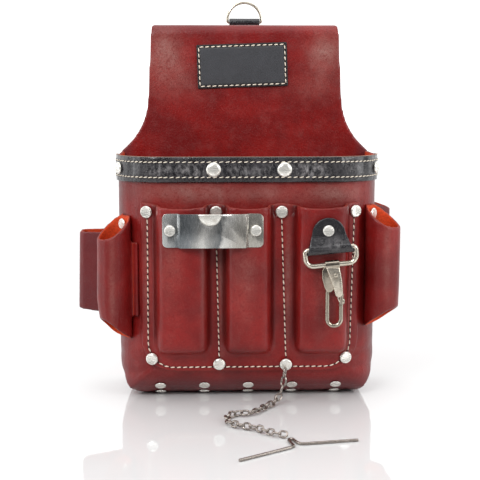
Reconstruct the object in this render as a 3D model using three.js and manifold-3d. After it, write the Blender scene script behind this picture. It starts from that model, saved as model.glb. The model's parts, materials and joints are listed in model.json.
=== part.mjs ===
// Electrician's leather tool pouch: a moulded three-pocket front on a round-cornered shell, a back
// panel folded over into a belt tunnel, four side loops, a tape clip, a snap hook and a tape chain.
// Millimetres, +Z up. The origin is on the standing surface under the middle of the base, the front
// of the pouch faces -Y and the wearer's right hand side is +X.
import * as THREE from 'three';
import { mergeVertices } from 'three/addons/utils/BufferGeometryUtils.js';
import Module from 'manifold-3d';

const wasm = await Module();
wasm.setup();
const { Manifold, Mesh } = wasm;

// ---------------------------------------------------------------- driving dimensions
const GAP = 0.3; // air left between pieces that lie on each other
const BODY_LEATHER = 3; // back panel and front shell
const POCKET_LEATHER = 2.6; // moulded pocket panel, base insert and side loops
const TRIM_LEATHER = 2.4; // rim band

const BODY_WIDTH = 215;
const BODY_DEPTH = 84; // front of the shell to the rear face of the back panel
const RIM_HEIGHT = 202; // top edge of the front shell
const CORNER_RADIUS = 40; // upright front corners of the shell
const BASE_FRONT_RADIUS = 38; // the front turning under into the base
const BASE_SIDE_RUN = 22; // how far the base is drawn in at each side
const BASE_SIDE_RISE = 38; // height at which it starts to draw in

const OVERALL_HEIGHT = 310.4; // to the top of the fold
const NECK_TOP_WIDTH = 161.6;
const NECK_FOOT_WIDTH = 168;
const NECK_FLARE_TOP = 250; // height where the neck starts to flare out
const NECK_FLARE_RADIUS = 60;
const BELT_GAP = 11; // thickness of belt that the tunnel takes
const BELT_SLOT_HEIGHT = 78; // height of belt that the tunnel takes
const FLAP_TAIL = 26; // length of flap lying flat on the back panel
const FLAP_RIVET_INSET = 7.5; // its rivets above its lower edge
const FLAP_CORNER_RADIUS = 9;

const BAND_HEIGHT = 21;
const BAND_END_SETBACK = 4; // band ends short of the shell's rear edge

const PANEL_HALF_WIDTH = 89;
const PANEL_CENTRE_X = 1.2;
const PANEL_FOOT = 26;
const PANEL_TOP = 165;
const PANEL_SCALLOP = 3.5; // dip of the mouth between two rivets
const PANEL_CORNER_RADIUS = 27;
const SEAMS = [ // the four upright seams, at the mouth and at the foot
  { top: -82.6, foot: -79.2 },
  { top: -26.8, foot: -24.4 },
  { top: 26.3, foot: 30.2 },
  { top: 86.4, foot: 79.4 },
];
const POCKETS = [ // the outer two are moulded wider than the middle one
  { centre: -54.3, width: 38 },
  { centre: -0.8, width: 33.5 },
  { centre: 58.8, width: 38.5 },
];
const POCKET_SPLAY = 4.5; // each side wall leans out by this much to its root
const POCKET_PROJECTION = 18; // front of the shell to the front of a pocket
const POCKET_FOOT = 45; // bottom of a pocket's face
const POCKET_EDGE_RADIUS = 7.5;

const CAP_RADIUS = 5; // rivet cap
const SMALL_CAP_RADIUS = 4.5;
const BAND_CAP_RADIUS = 6;
const BAND_RIVET_X = 28.5;
const CAP_RISE = 2.2;
const SHANK_RADIUS = 1.5;
const WASHER_RADIUS = 3.8;
const WASHER_THICKNESS = 1;
const RIVET_SIDES = 10;

const LOOP_TUBE_RADIUS = 14.4; // outside of a front loop
const LOOP_STANDOFF = 13; // front loop's centre from the shell
const LOOP_ANGLE_DEG = 36; // where it sits round the shell's front corner

const CLIP_SHEET = 1.2;
const CLIP_LEFT = -69.5;
const CLIP_RIGHT = 10.8;
const CLIP_FOOT = 131;
const CLIP_HEIGHT = 27;
const CLIP_TAB = 14.4; // flat tab at each end
const CLIP_RAISE = 4.6;
const CLIP_SLOPE = 2.2; // run of each bend
const CLIP_NOTCH_RADIUS = 9.7;
const CLIP_NOTCH_X = -31.5;

const LABEL_WIDTH = 78;
const LABEL_HEIGHT = 37.4;
const LABEL_THICKNESS = 1.5;
const LABEL_CENTRE_X = -2.5;
const LABEL_DROP = 34.9; // top of the fold to the label's middle
const LABEL_TILT_DEG = 2;

const DRING_WIRE_RADIUS = 1.25;
const DRING_RADIUS = 15.15; // centre of the wire
const DRING_RISE = 14.15; // its crown above its bends
const DRING_BEND = 1.6; // radius between its bar and its crown
const DRING_BAR_RISE = 2.6; // its bar above the top of the fold
const TAB_CLEARANCE = 0.35; // between a ring's bar and its leather eye
const TAB_LAYER = 2.1; // one layer of black tab leather

const HOOK_X = 62;
const HOOK_RIVET_Z = 144.5;
const HOOK_TILT_DEG = 5.7;
const HOOK_RING_WIRE_RADIUS = 2;
const HOOK_RING_HALF_WIDTH = 20.3;
const HOOK_RING_DROP = 13; // bar to bar
const HOOK_BAR_DROP = 14.3; // rivet to the ring's upper bar
const HOOK_TAB_TOP = 10.2;
const HOOK_TAB_HALF_WIDTH = 17.5;

const SNAP_WIRE_RADIUS = 2.1;
const SNAP_BAR_OFFSET = 2.6; // snap hook's eye along the ring's lower bar
const SNAP_SHEET = 1.2;
const SNAP_BEND_RADIUS = 5.2;
const SNAP_LENGTH = 50; // eye to the middle of the bend

const CHAIN_TUBE_RADIUS = 2.8;
const T_BAR_WIRE_RADIUS = 1.1;

// ---------------------------------------------------------------- derived places
const HALF_WIDTH = BODY_WIDTH / 2;
const FRONT_Y = -BODY_DEPTH / 2;
const BACK_Y = BODY_DEPTH / 2; // rear face of the back panel
const PANEL_Y = BACK_Y - BODY_LEATHER; // its front face
const CORNER_X = HALF_WIDTH - CORNER_RADIUS; // centre of a front corner
const CORNER_Y = FRONT_Y + CORNER_RADIUS;
const BASE_ARC_Y = FRONT_Y + BASE_FRONT_RADIUS; // centre of the turn under the front
const NECK_FLARE_X = NECK_FOOT_WIDTH / 2 + NECK_FLARE_RADIUS;
const LABEL_CENTRE_Z = OVERALL_HEIGHT - LABEL_DROP;
const DRING_BAR_HEIGHT = OVERALL_HEIGHT + DRING_BAR_RISE;
const FOLD_RADIUS = BELT_GAP / 2 + BODY_LEATHER;
const FOLD_Z = OVERALL_HEIGHT - FOLD_RADIUS;
const FOLD_Y = PANEL_Y + FOLD_RADIUS;
const FLAP_Y = PANEL_Y + 2 * FOLD_RADIUS; // rear face of the flap
const FLAP_BEND_Z = OVERALL_HEIGHT - BODY_LEATHER - BELT_SLOT_HEIGHT;
const FLAP_DROP = 22; // height over which the flap comes in to the back panel
const FLAP_FOOT_Z = FLAP_BEND_Z - FLAP_DROP - FLAP_TAIL;
const POCKET_FACE_Y = FRONT_Y - POCKET_PROJECTION;
const SHELL_STACK = BODY_LEATHER + GAP + POCKET_LEATHER; // two layers riveted together
const BAND_STACK = BODY_LEATHER + GAP + TRIM_LEATHER;

const deg = THREE.MathUtils.degToRad;
const TRIM_BLACK = { color: 0x17141a, roughness: 0.32, metalness: 0 };
const OXBLOOD = { color: 0x7a1c1a, roughness: 0.42, metalness: 0 };
const NICKEL = { color: 0xd2cfc6, roughness: 0.22, metalness: 1 };
const STEEL = { color: 0x8a867e, roughness: 0.34, metalness: 1 };
const CHARCOAL = { color: 0x3c3d42, roughness: 0.6, metalness: 0 };

const pouch = new THREE.Group();

// ---------------------------------------------------------------- shape helpers

/** Turns a closed geometry into a solid that can be joined and cut. */
function solid(geometry) {
  const bare = geometry.clone();
  bare.deleteAttribute('normal');
  bare.deleteAttribute('uv');
  const merged = mergeVertices(bare, 1e-4);
  return new Manifold(new Mesh({
    numProp: 3,
    vertProperties: new Float32Array(merged.attributes.position.array),
    triVerts: new Uint32Array(merged.index.array),
  }));
}

/** Turns a solid back into a geometry. */
function geometryOf(body) {
  const mesh = body.getMesh();
  const geometry = new THREE.BufferGeometry();
  geometry.setAttribute('position', new THREE.BufferAttribute(mesh.vertProperties, 3));
  geometry.setIndex(new THREE.BufferAttribute(mesh.triVerts, 1));
  geometry.computeVertexNormals();
  return geometry;
}

/** Points along an elliptical arc, both ends included. */
function arc(cx, cy, rx, ry, fromDeg, toDeg, steps) {
  return Array.from({ length: steps + 1 }, (_, i) => {
    const a = deg(fromDeg + ((toDeg - fromDeg) * i) / steps);
    return [cx + rx * Math.cos(a), cy + ry * Math.sin(a)];
  });
}

/** Mirrors a half outline in its first coordinate and closes it on the other side. */
function mirrored(half) {
  return [...half, ...half.map(([u, v]) => [-u, v]).reverse()];
}

/** A polygon with each corner rounded by its own radius. */
function rounded(corners, radii, steps = 4) {
  const count = corners.length;
  return corners.flatMap((corner, i) => {
    const radius = Array.isArray(radii) ? radii[i] : radii;
    if (radius <= 0) return [corner];
    const p = new THREE.Vector2(...corner);
    const before = new THREE.Vector2(...corners[(i + count - 1) % count]).sub(p).normalize();
    const after = new THREE.Vector2(...corners[(i + 1) % count]).sub(p).normalize();
    const half = Math.acos(THREE.MathUtils.clamp(before.dot(after), -1, 1)) / 2;
    const reach = radius / Math.tan(half);
    const centre = before.clone().add(after).normalize().multiplyScalar(radius / Math.sin(half)).add(p);
    const start = before.clone().multiplyScalar(reach).add(p).sub(centre);
    const end = after.clone().multiplyScalar(reach).add(p).sub(centre);
    const sweep = Math.atan2(start.x * end.y - start.y * end.x, start.dot(end));
    return Array.from({ length: steps + 1 }, (_, k) => {
      const turned = start.clone().rotateAround(new THREE.Vector2(), (sweep * k) / steps);
      return [centre.x + turned.x, centre.y + turned.y];
    });
  });
}

/** The outline of a strip of leather or sheet metal seen on edge. */
function ribbon(line, thickness) {
  const points = line.map(([u, v]) => new THREE.Vector2(u, v));
  const sides = [[], []];
  points.forEach((point, i) => {
    const back = i > 0 ? point.clone().sub(points[i - 1]).normalize() : null;
    const ahead = i < points.length - 1 ? points[i + 1].clone().sub(point).normalize() : null;
    const along = (back ?? ahead).clone().add(ahead ?? back).normalize();
    const normal = new THREE.Vector2(-along.y, along.x);
    const mitre = thickness / 2 / Math.max(0.5, along.dot(ahead ?? back));
    sides[0].push([point.x + normal.x * mitre, point.y + normal.y * mitre]);
    sides[1].push([point.x - normal.x * mitre, point.y - normal.y * mitre]);
  });
  return [...sides[0], ...sides[1].reverse()];
}

/** A flat outline, with optional holes, pushed straight up to a depth. */
function extrude(outline, depth, holes = []) {
  const shape = new THREE.Shape(outline.map(([u, v]) => new THREE.Vector2(u, v)));
  holes.forEach((hole) => shape.holes.push(new THREE.Path(hole.map(([u, v]) => new THREE.Vector2(u, v)))));
  return new THREE.ExtrudeGeometry(shape, { depth, bevelEnabled: false, steps: 1 });
}

/** A prism along Z from an outline in X and Y. */
function prismZ(outline, low, high, holes) {
  return solid(extrude(outline, high - low, holes).translate(0, 0, low));
}

/** A prism along Y from an outline in X and Z. */
function prismY(outline, low, high, holes) {
  return solid(extrude(outline, high - low, holes).rotateX(Math.PI / 2).translate(0, high, 0));
}

/** A prism along X from an outline in Y and Z. */
function prismX(outline, low, high, holes) {
  const turn = new THREE.Matrix4().makeBasis(
    new THREE.Vector3(0, 1, 0),
    new THREE.Vector3(0, 0, 1),
    new THREE.Vector3(1, 0, 0),
  );
  return solid(extrude(outline, high - low, holes).applyMatrix4(turn).translate(low, 0, 0));
}

/** A box between two corners. */
function block(low, high) {
  const size = high.map((v, i) => v - low[i]);
  const middle = high.map((v, i) => (v + low[i]) / 2);
  return solid(new THREE.BoxGeometry(...size).translate(...middle));
}

/** A round bar between two points. */
function bar(from, to, radius, sides = 16) {
  const a = new THREE.Vector3(...from);
  const b = new THREE.Vector3(...to);
  const along = b.clone().sub(a);
  const turn = new THREE.Quaternion().setFromUnitVectors(
    new THREE.Vector3(0, 1, 0),
    along.clone().normalize(),
  );
  return solid(new THREE.CylinderGeometry(radius, radius, along.length(), sides)
    .applyQuaternion(turn)
    .translate(...a.add(b).multiplyScalar(0.5).toArray()));
}

/** A curve that passes through every point of a line with one step between neighbours. */
class Polyline extends THREE.Curve {
  constructor(points) {
    super();
    this.stops = points.map((p) => new THREE.Vector3(...p));
  }

  getPoint(t) {
    const last = this.stops.length - 1;
    const place = THREE.MathUtils.clamp(t, 0, 1) * last;
    const i = Math.min(last - 1, Math.floor(place + 1e-9));
    return this.stops[i].clone().lerp(this.stops[i + 1], place - i);
  }

  getPointAt(t) {
    return this.getPoint(t);
  }

  getTangentAt(t) {
    const last = this.stops.length - 1;
    const i = Math.round(THREE.MathUtils.clamp(t, 0, 1) * last);
    const back = this.stops[Math.max(0, i - 1)];
    const ahead = this.stops[Math.min(last, i + 1)];
    const before = this.stops[i].clone().sub(back).normalize();
    const after = ahead.clone().sub(this.stops[i]).normalize();
    return before.add(after).normalize();
  }
}

/** A round wire along a line of points, with straight stretches kept straight. */
function wire(points, radius, sides = 10) {
  return wireAlong(new Polyline(points), points.length - 1, radius, sides);
}

/** A round wire along a curve. */
function wireAlong(curve, steps, radius, sides = 10) {
  const section = new THREE.Shape(arc(0, 0, radius, radius, 0, 360 - 360 / sides, sides - 1)
    .map(([u, v]) => new THREE.Vector2(u, v)));
  return new THREE.ExtrudeGeometry(section, { steps, extrudePath: curve, bevelEnabled: false });
}

/** Adds a piece to the pouch. */
function add(name, shape, finish) {
  const geometry = shape.isBufferGeometry ? shape : geometryOf(shape);
  const mesh = new THREE.Mesh(geometry, new THREE.MeshStandardMaterial(finish));
  mesh.name = name;
  pouch.add(mesh);
  return mesh;
}

// ---------------------------------------------------------------- the pouch's own envelope

/** The space inside the pouch's skin, moved out by a distance (or in, when negative). */
function envelope(offset, top = RIM_HEIGHT, rear = PANEL_Y - GAP) {
  const reach = CORNER_RADIUS + offset;
  const side = HALF_WIDTH + offset;
  const plan = mirrored([[side, rear], ...arc(CORNER_X, CORNER_Y, reach, reach, 0, -90, 10)]);
  const drawnIn = arc(
    HALF_WIDTH - BASE_SIDE_RUN,
    BASE_SIDE_RISE,
    BASE_SIDE_RUN + offset,
    BASE_SIDE_RISE + offset,
    0,
    -90,
    8,
  );
  const front = mirrored([[side, top], ...drawnIn]);
  const turnUnder = arc(
    BASE_ARC_Y,
    BASE_FRONT_RADIUS,
    BASE_FRONT_RADIUS + offset,
    BASE_FRONT_RADIUS + offset,
    180,
    270,
    10,
  );
  const profile = [[FRONT_Y - offset, top], ...turnUnder, [rear, -offset], [rear, top]];
  return prismZ(plan, -offset, top)
    .intersect(prismY(front, FRONT_Y - offset - 1, rear + 1))
    .intersect(prismX(profile, -side - 1, side + 1));
}

/** A layer of leather lying on the outside (or inside) of the pouch's skin. */
function layer(inner, outer, top, rear) {
  return envelope(outer, top, rear).subtract(envelope(inner, top + 5, rear + 5));
}

// ---------------------------------------------------------------- rivets

/** Everything the rivets go through is drilled with these pins. */
const shanks = [];

/**
 * A domed rivet. `seat` is the point on the outside of the leather, `out` points away from it and
 * `stack` is the thickness held between cap and washer.
 */
function rivet(name, seat, out, stack, capRadius = CAP_RADIUS, lift = GAP) {
  const foot = -stack - 2 * GAP;
  const profile = [
    [0, foot - WASHER_THICKNESS],
    [WASHER_RADIUS, foot - WASHER_THICKNESS],
    [WASHER_RADIUS, foot],
    [SHANK_RADIUS, foot],
    [SHANK_RADIUS, lift],
    [capRadius, lift],
    [capRadius, lift + CAP_RISE * 0.35],
    [capRadius * 0.7, lift + CAP_RISE * 0.8],
    [0, lift + CAP_RISE],
  ];
  const turned = new THREE.LatheGeometry(profile.map(([r, h]) => new THREE.Vector2(r, h)), RIVET_SIDES);
  const mesh = add(name, turned, NICKEL);
  const direction = new THREE.Vector3(...out).normalize();
  mesh.position.set(...seat);
  mesh.quaternion.setFromUnitVectors(new THREE.Vector3(0, 1, 0), direction);
  const start = new THREE.Vector3(...seat).addScaledVector(direction, 3);
  const end = new THREE.Vector3(...seat).addScaledVector(direction, -stack - 3);
  shanks.push(bar(start.toArray(), end.toArray(), SHANK_RADIUS + GAP, 10));
}

/** Cuts the hole of every rivet that passes through a piece. */
function drilled(body) {
  return shanks.reduce((rest, pin) => rest.subtract(pin), body);
}

/** The point and outward direction at a distance outside the shell's front corner. */
function cornerPoint(side, angleDeg, offset) {
  const out = [side * Math.cos(deg(angleDeg)), -Math.sin(deg(angleDeg))];
  const reach = CORNER_RADIUS + offset;
  return { x: side * CORNER_X + out[0] * reach, y: CORNER_Y + out[1] * reach, out: [...out, 0] };
}

/** The point and outward direction on the shell's front at a place across it. */
function frontPoint(x, offset) {
  if (Math.abs(x) <= CORNER_X) return { x, y: FRONT_Y - offset, out: [0, -1, 0] };
  const sine = (Math.abs(x) - CORNER_X) / (CORNER_RADIUS + offset);
  return cornerPoint(Math.sign(x), THREE.MathUtils.radToDeg(Math.acos(sine)), offset);
}

/** The point and outward direction on the turn under the front, by its angle below level. */
function underPoint(x, angleDeg, offset) {
  const out = [0, -Math.cos(deg(angleDeg)), -Math.sin(deg(angleDeg))];
  const reach = BASE_FRONT_RADIUS + offset;
  return { seat: [x, BASE_ARC_Y + out[1] * reach, BASE_FRONT_RADIUS + out[2] * reach], out };
}

const FLANGE_OUT = GAP + POCKET_LEATHER;
const POCKET_RIVET_TOP = PANEL_TOP - 7.5;
const FOOT_RIVET_ANGLE = 8; // round the turn under the front
const OUTER_FOOT_RIVET_Z = BASE_SIDE_RISE - 1.2;
const CHAIN_RIVET_LIFT = 2.2; // room for the chain's first link under the cap
const CHAIN_RIVET = 2; // third rivet along the foot of the pockets
SEAMS.forEach((seam, i) => {
  const outer = i === 0 || i === SEAMS.length - 1;
  const top = frontPoint(seam.top, FLANGE_OUT);
  rivet(`pocket_rivet_top_${i + 1}`, [top.x, top.y, POCKET_RIVET_TOP], top.out, SHELL_STACK);
  const lift = i === CHAIN_RIVET ? CHAIN_RIVET_LIFT : GAP;
  if (outer) {
    const foot = frontPoint(seam.foot, FLANGE_OUT);
    rivet(`pocket_rivet_foot_${i + 1}`, [foot.x, foot.y, OUTER_FOOT_RIVET_Z], foot.out, SHELL_STACK);
  } else {
    const { seat, out } = underPoint(seam.foot, FOOT_RIVET_ANGLE, FLANGE_OUT);
    rivet(`pocket_rivet_foot_${i + 1}`, seat, out, SHELL_STACK, CAP_RADIUS, lift);
  }
});

const BAND_RIVET_Z = RIM_HEIGHT - BAND_HEIGHT / 2;
const BAND_OUT = GAP + TRIM_LEATHER;
const BAND_SIDE_ANGLE = 27;
[-1, 1].forEach((side) => {
  const word = side < 0 ? 'left' : 'right';
  const front = frontPoint(side * BAND_RIVET_X, BAND_OUT);
  const seat = [front.x, front.y, BAND_RIVET_Z];
  rivet(`band_rivet_front_${word}`, seat, front.out, BAND_STACK, BAND_CAP_RADIUS);
  const end = cornerPoint(side, BAND_SIDE_ANGLE, BAND_OUT);
  rivet(`band_rivet_side_${word}`, [end.x, end.y, BAND_RIVET_Z], end.out, BAND_STACK);
});

const BASE_RIVET_PITCH = 36.5;
const BASE_RIVET_ROWS = [45, 65]; // degrees round the turn under the front
BASE_RIVET_ROWS.forEach((angle, row) => {
  for (let i = 0; i < 5; i += 1) {
    const { seat, out } = underPoint((i - 2) * BASE_RIVET_PITCH, angle, 0);
    rivet(`base_rivet_${row === 0 ? 'upper' : 'lower'}_${i + 1}`, seat, out, SHELL_STACK, SMALL_CAP_RADIUS);
  }
});

// ---------------------------------------------------------------- side loops

const LOOP_WALL = POCKET_LEATHER;
const LOOP_CENTRE = CORNER_RADIUS + LOOP_STANDOFF; // from the centre of the shell's corner
const LOOP_OUTER = LOOP_CENTRE + LOOP_TUBE_RADIUS;
const FRONT_LOOPS = [
  { word: 'left', side: -1, topIn: 157, topOut: 134.5, footIn: 52, footOut: 71, rivets: [146, 62] },
  { word: 'right', side: 1, topIn: 165, topOut: 143.5, footIn: 60, footOut: 79, rivets: [154, 70] },
];
const REAR_LOOPS = [
  { word: 'left', side: -1, reach: 35.5, topIn: 135, topOut: 135, footIn: 64, footOut: 69, rivets: [124, 77] },
  { word: 'right', side: 1, reach: 16, topIn: 160, topOut: 154, footIn: 76, footOut: 80, rivets: [148, 90] },
];
const LOOP_RIVET_TURN = 1; // the loop's rivets sit a little behind its middle

/** The upright profile a loop is cut to, from the shell outwards. */
function loopCut(from, to, { topIn, topOut, footIn, footOut }, bow) {
  const steps = 8;
  const top = Array.from({ length: steps + 1 }, (_, i) => {
    const t = i / steps;
    return [from + (to - from) * t, topOut + (topIn - topOut) * (1 - t) ** bow];
  });
  return [[from, footIn], ...top, [to, footOut]];
}

/** A tube of leather riveted to the rounded front corner, with both mouths cut on a slant. */
function frontLoop(loop) {
  const near = CORNER_RADIUS + GAP;
  const tube = (radius, skin) => prismZ(arc(LOOP_CENTRE, 0, radius, radius, 0, 352.5, 47), 0, OVERALL_HEIGHT)
    .subtract(prismZ(arc(0, 0, skin, skin, 0, 355, 71), -1, OVERALL_HEIGHT + 1));
  let body = tube(LOOP_TUBE_RADIUS, near).subtract(tube(LOOP_TUBE_RADIUS - LOOP_WALL, near + LOOP_WALL));
  const cut = loopCut(near - 2, LOOP_OUTER + 1, loop, 1.5);
  body = body.intersect(prismY(cut, -LOOP_TUBE_RADIUS - 1, LOOP_TUBE_RADIUS + 1));
  if (loop.side < 0) {
    const tail = [
      ...arc(0, 0, near, near, 8, 21, 4),
      ...arc(0, 0, near + LOOP_WALL, near + LOOP_WALL, 21, 8, 4),
    ];
    body = body.add(prismZ(tail, 71, 132));
  }
  const turn = loop.side > 0 ? -LOOP_ANGLE_DEG : 180 + LOOP_ANGLE_DEG;
  return body.rotate([0, 0, turn]).translate([loop.side * CORNER_X, CORNER_Y, 0]);
}

/** A flatter loop on the side wall behind it. */
function rearLoop({ side, reach, ...heights }) {
  const skin = HALF_WIDTH + GAP;
  const plan = (inset) => rounded(
    [
      [skin + inset, 2 + inset],
      [skin + reach - inset, 9 + inset * 0.8],
      [skin + reach - inset, 30 - inset],
      [skin + inset, 35 - inset],
    ],
    [1.2, Math.max(1, 6 - inset), Math.max(1, 6 - inset), 1.2],
  );
  const body = prismZ(plan(0), 0, OVERALL_HEIGHT).subtract(prismZ(plan(LOOP_WALL), -1, OVERALL_HEIGHT + 1));
  const cut = loopCut(skin - 1, skin + reach + 1, heights, 1);
  const trimmed = body.intersect(prismY(cut, 0, BACK_Y));
  return side > 0 ? trimmed : trimmed.mirror([1, 0, 0]);
}

FRONT_LOOPS.forEach((loop) => {
  const seat = cornerPoint(loop.side, LOOP_ANGLE_DEG - LOOP_RIVET_TURN, FLANGE_OUT);
  loop.rivets.forEach((z, i) => {
    const place = i === 0 ? 'top' : 'foot';
    rivet(`loop_rivet_${loop.word}_front_${place}`, [seat.x, seat.y, z], seat.out, SHELL_STACK, SMALL_CAP_RADIUS);
  });
});
const REAR_RIVET_Y = CORNER_Y + 20;
REAR_LOOPS.forEach((loop) => {
  loop.rivets.forEach((z, i) => {
    const place = i === 0 ? 'top' : 'foot';
    rivet(
      `loop_rivet_${loop.word}_rear_${place}`,
      [loop.side * (HALF_WIDTH + FLANGE_OUT), REAR_RIVET_Y, z],
      [loop.side, 0, 0],
      SHELL_STACK,
      SMALL_CAP_RADIUS,
    );
  });
});

// ---------------------------------------------------------------- rivets of the flap, clip and tabs

const FLAP_RIVET_Z = FLAP_FOOT_Z + FLAP_RIVET_INSET;
const FLAP_RIVET_PITCH = 60;
['left', 'middle', 'right'].forEach((word, i) => {
  rivet(
    `belt_flap_rivet_${word}`,
    [(i - 1) * FLAP_RIVET_PITCH, BACK_Y + GAP + BODY_LEATHER, FLAP_RIVET_Z],
    [0, 1, 0],
    2 * BODY_LEATHER + GAP,
  );
});

const CLIP_BACK_Y = POCKET_FACE_Y - GAP;
const CLIP_TAB_Y = CLIP_BACK_Y - CLIP_SHEET;
const CLIP_RIVET_Z = CLIP_FOOT + CLIP_HEIGHT / 2;
const CLIP_STACK = CLIP_SHEET + GAP + POCKET_LEATHER;
const CLIP_RIVET_INSET = (CLIP_TAB - CLIP_SLOPE) / 2;
[['left', CLIP_LEFT + CLIP_RIVET_INSET], ['right', CLIP_RIGHT - CLIP_RIVET_INSET]].forEach(([word, x]) => {
  rivet(`tape_clip_rivet_${word}`, [x, CLIP_TAB_Y, CLIP_RIVET_Z], [0, -1, 0], CLIP_STACK, SMALL_CAP_RADIUS);
});

const TAB_THICKNESS = 2 * TAB_LAYER;
const HOOK_TAB_BACK_Y = POCKET_FACE_Y - 1;
const HOOK_TAB_FRONT_Y = HOOK_TAB_BACK_Y - TAB_THICKNESS;
rivet(
  'hook_tab_rivet',
  [HOOK_X, HOOK_TAB_FRONT_Y, HOOK_RIVET_Z],
  [0, -1, 0],
  TAB_THICKNESS + 1 + POCKET_LEATHER,
  SMALL_CAP_RADIUS,
);

const RING_TAB_FRONT_Y = FLAP_Y + GAP;
const RING_TAB_REAR_Y = RING_TAB_FRONT_Y + TAB_THICKNESS;
const RING_TAB_LENGTH = 34;
const RING_TAB_RIVET_Z = DRING_BAR_HEIGHT - 24;
rivet(
  'ring_tab_rivet',
  [0, RING_TAB_REAR_Y, RING_TAB_RIVET_Z],
  [0, 1, 0],
  TAB_THICKNESS + GAP + BODY_LEATHER,
  SMALL_CAP_RADIUS,
);

// ---------------------------------------------------------------- leather body

/** Half the width of the neck at a height. */
function neckHalfWidth(z) {
  const t = (OVERALL_HEIGHT - z) / (OVERALL_HEIGHT - NECK_FLARE_TOP);
  return (NECK_TOP_WIDTH + (NECK_FOOT_WIDTH - NECK_TOP_WIDTH) * t) / 2;
}

/** The back panel, folded over at the top and brought down again behind to hold the belt. */
function backPanel() {
  const flareEnd = THREE.MathUtils.radToDeg(Math.acos((NECK_FLARE_X - HALF_WIDTH) / NECK_FLARE_RADIUS));
  const flare = arc(NECK_FLARE_X, NECK_FLARE_TOP, NECK_FLARE_RADIUS, NECK_FLARE_RADIUS, 180, 180 + flareEnd, 10);
  const base = arc(HALF_WIDTH - BASE_SIDE_RUN, BASE_SIDE_RISE, BASE_SIDE_RUN, BASE_SIDE_RISE, 0, -90, 8);
  const outline = mirrored([[neckHalfWidth(FOLD_Z), FOLD_Z], ...flare, ...base]);
  const sheet = prismY(outline, PANEL_Y, BACK_Y);

  const mid = BODY_LEATHER / 2;
  const tailY = BACK_Y + GAP + mid;
  const flapY = FLAP_Y - mid;
  const comingIn = Array.from({ length: 9 }, (_, i) => {
    const t = i / 8;
    return [flapY + (tailY - flapY) * (0.5 - 0.5 * Math.cos(Math.PI * t)), FLAP_BEND_Z - FLAP_DROP * t];
  });
  const fold = arc(FOLD_Y, FOLD_Z, FOLD_RADIUS - mid, FOLD_RADIUS - mid, 180, 0, 12);
  const line = [[PANEL_Y + mid, FOLD_Z - 6], ...fold, ...comingIn, [tailY, FLAP_FOOT_Z]];
  const taperFoot = Math.max(NECK_FLARE_TOP, FLAP_FOOT_Z + 2 * FLAP_CORNER_RADIUS);
  const flapHalf = neckHalfWidth(taperFoot);
  const flapOutline = rounded(
    [
      [-flapHalf, FLAP_FOOT_Z],
      [flapHalf, FLAP_FOOT_Z],
      [flapHalf, taperFoot],
      [NECK_TOP_WIDTH / 2, OVERALL_HEIGHT],
      [-NECK_TOP_WIDTH / 2, OVERALL_HEIGHT],
      [-flapHalf, taperFoot],
    ],
    [FLAP_CORNER_RADIUS, FLAP_CORNER_RADIUS, 0, 2, 2, 0],
  );
  const flap = prismX(ribbon(line, BODY_LEATHER), -NECK_FOOT_WIDTH, NECK_FOOT_WIDTH)
    .intersect(prismY(flapOutline, PANEL_Y - 1, FLAP_Y + 1));
  return sheet.add(flap);
}

/** One moulded pocket: its outside when `inset` is 0, the hollow inside it otherwise. */
function pocketForm({ centre, width }, inset) {
  const front = POCKET_FACE_Y + inset;
  const half = width / 2 - inset;
  const root = half + POCKET_SPLAY;
  const rear = FRONT_Y + 12;
  const edge = Math.max(2, POCKET_EDGE_RADIUS - inset);
  const foot = POCKET_FOOT + inset;
  const plan = rounded([[-root, rear], [-half, front], [half, front], [root, rear]], [0, edge, edge, 0]);
  const profile = rounded(
    [[front, PANEL_TOP + 2], [front, foot], [FRONT_Y, foot - POCKET_SPLAY], [rear, foot - POCKET_SPLAY], [rear, PANEL_TOP + 2]],
    [0, edge, 0, 0, 0],
  );
  const face = rounded(
    [[-root, PANEL_TOP + 2], [-root, foot - POCKET_SPLAY], [root, foot - POCKET_SPLAY], [root, PANEL_TOP + 2]],
    [0, edge + 5, edge + 5, 0],
  );
  return prismZ(plan, 0, PANEL_TOP + 2)
    .intersect(prismX(profile, -root - 1, root + 1))
    .intersect(prismY(face, front - 1, rear + 1))
    .translate([centre, 0, 0]);
}

/** How far the panel's mouth dips at a place across it: most midway between two seams. */
function mouthDip(x) {
  const next = SEAMS.findIndex((seam) => seam.top > x);
  if (next < 1) return 0;
  const [from, to] = [SEAMS[next - 1].top, SEAMS[next].top];
  return PANEL_SCALLOP * Math.sin((Math.PI * (x - from)) / (to - from));
}

/** The one moulded panel whose flange is stitched round three pockets. */
function pocketPanel() {
  const [left, right] = [PANEL_CENTRE_X - PANEL_HALF_WIDTH, PANEL_CENTRE_X + PANEL_HALF_WIDTH];
  const mouth = Array.from({ length: 37 }, (_, i) => {
    const x = right + ((left - right) * i) / 36;
    return [x, PANEL_TOP - mouthDip(x)];
  });
  const corner = PANEL_CORNER_RADIUS;
  const rightFoot = arc(right - corner, PANEL_FOOT + corner, corner, corner, -90, 0, 8);
  const leftFoot = arc(left + corner, PANEL_FOOT + corner, corner, corner, 180, 270, 8);
  const outline = [...leftFoot, ...rightFoot, ...mouth];
  const window = prismY(outline, POCKET_FACE_Y - 10, CORNER_Y);
  const flange = layer(GAP, FLANGE_OUT, PANEL_TOP + 2, PANEL_Y - GAP);
  const raised = POCKETS.reduce((body, pocket) => body.add(pocketForm(pocket, 0)), flange);
  const hollow = POCKETS.reduce((body, pocket) => body.subtract(pocketForm(pocket, POCKET_LEATHER)), raised);
  return hollow.subtract(envelope(GAP, PANEL_TOP + 10, PANEL_Y)).intersect(window);
}

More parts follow.
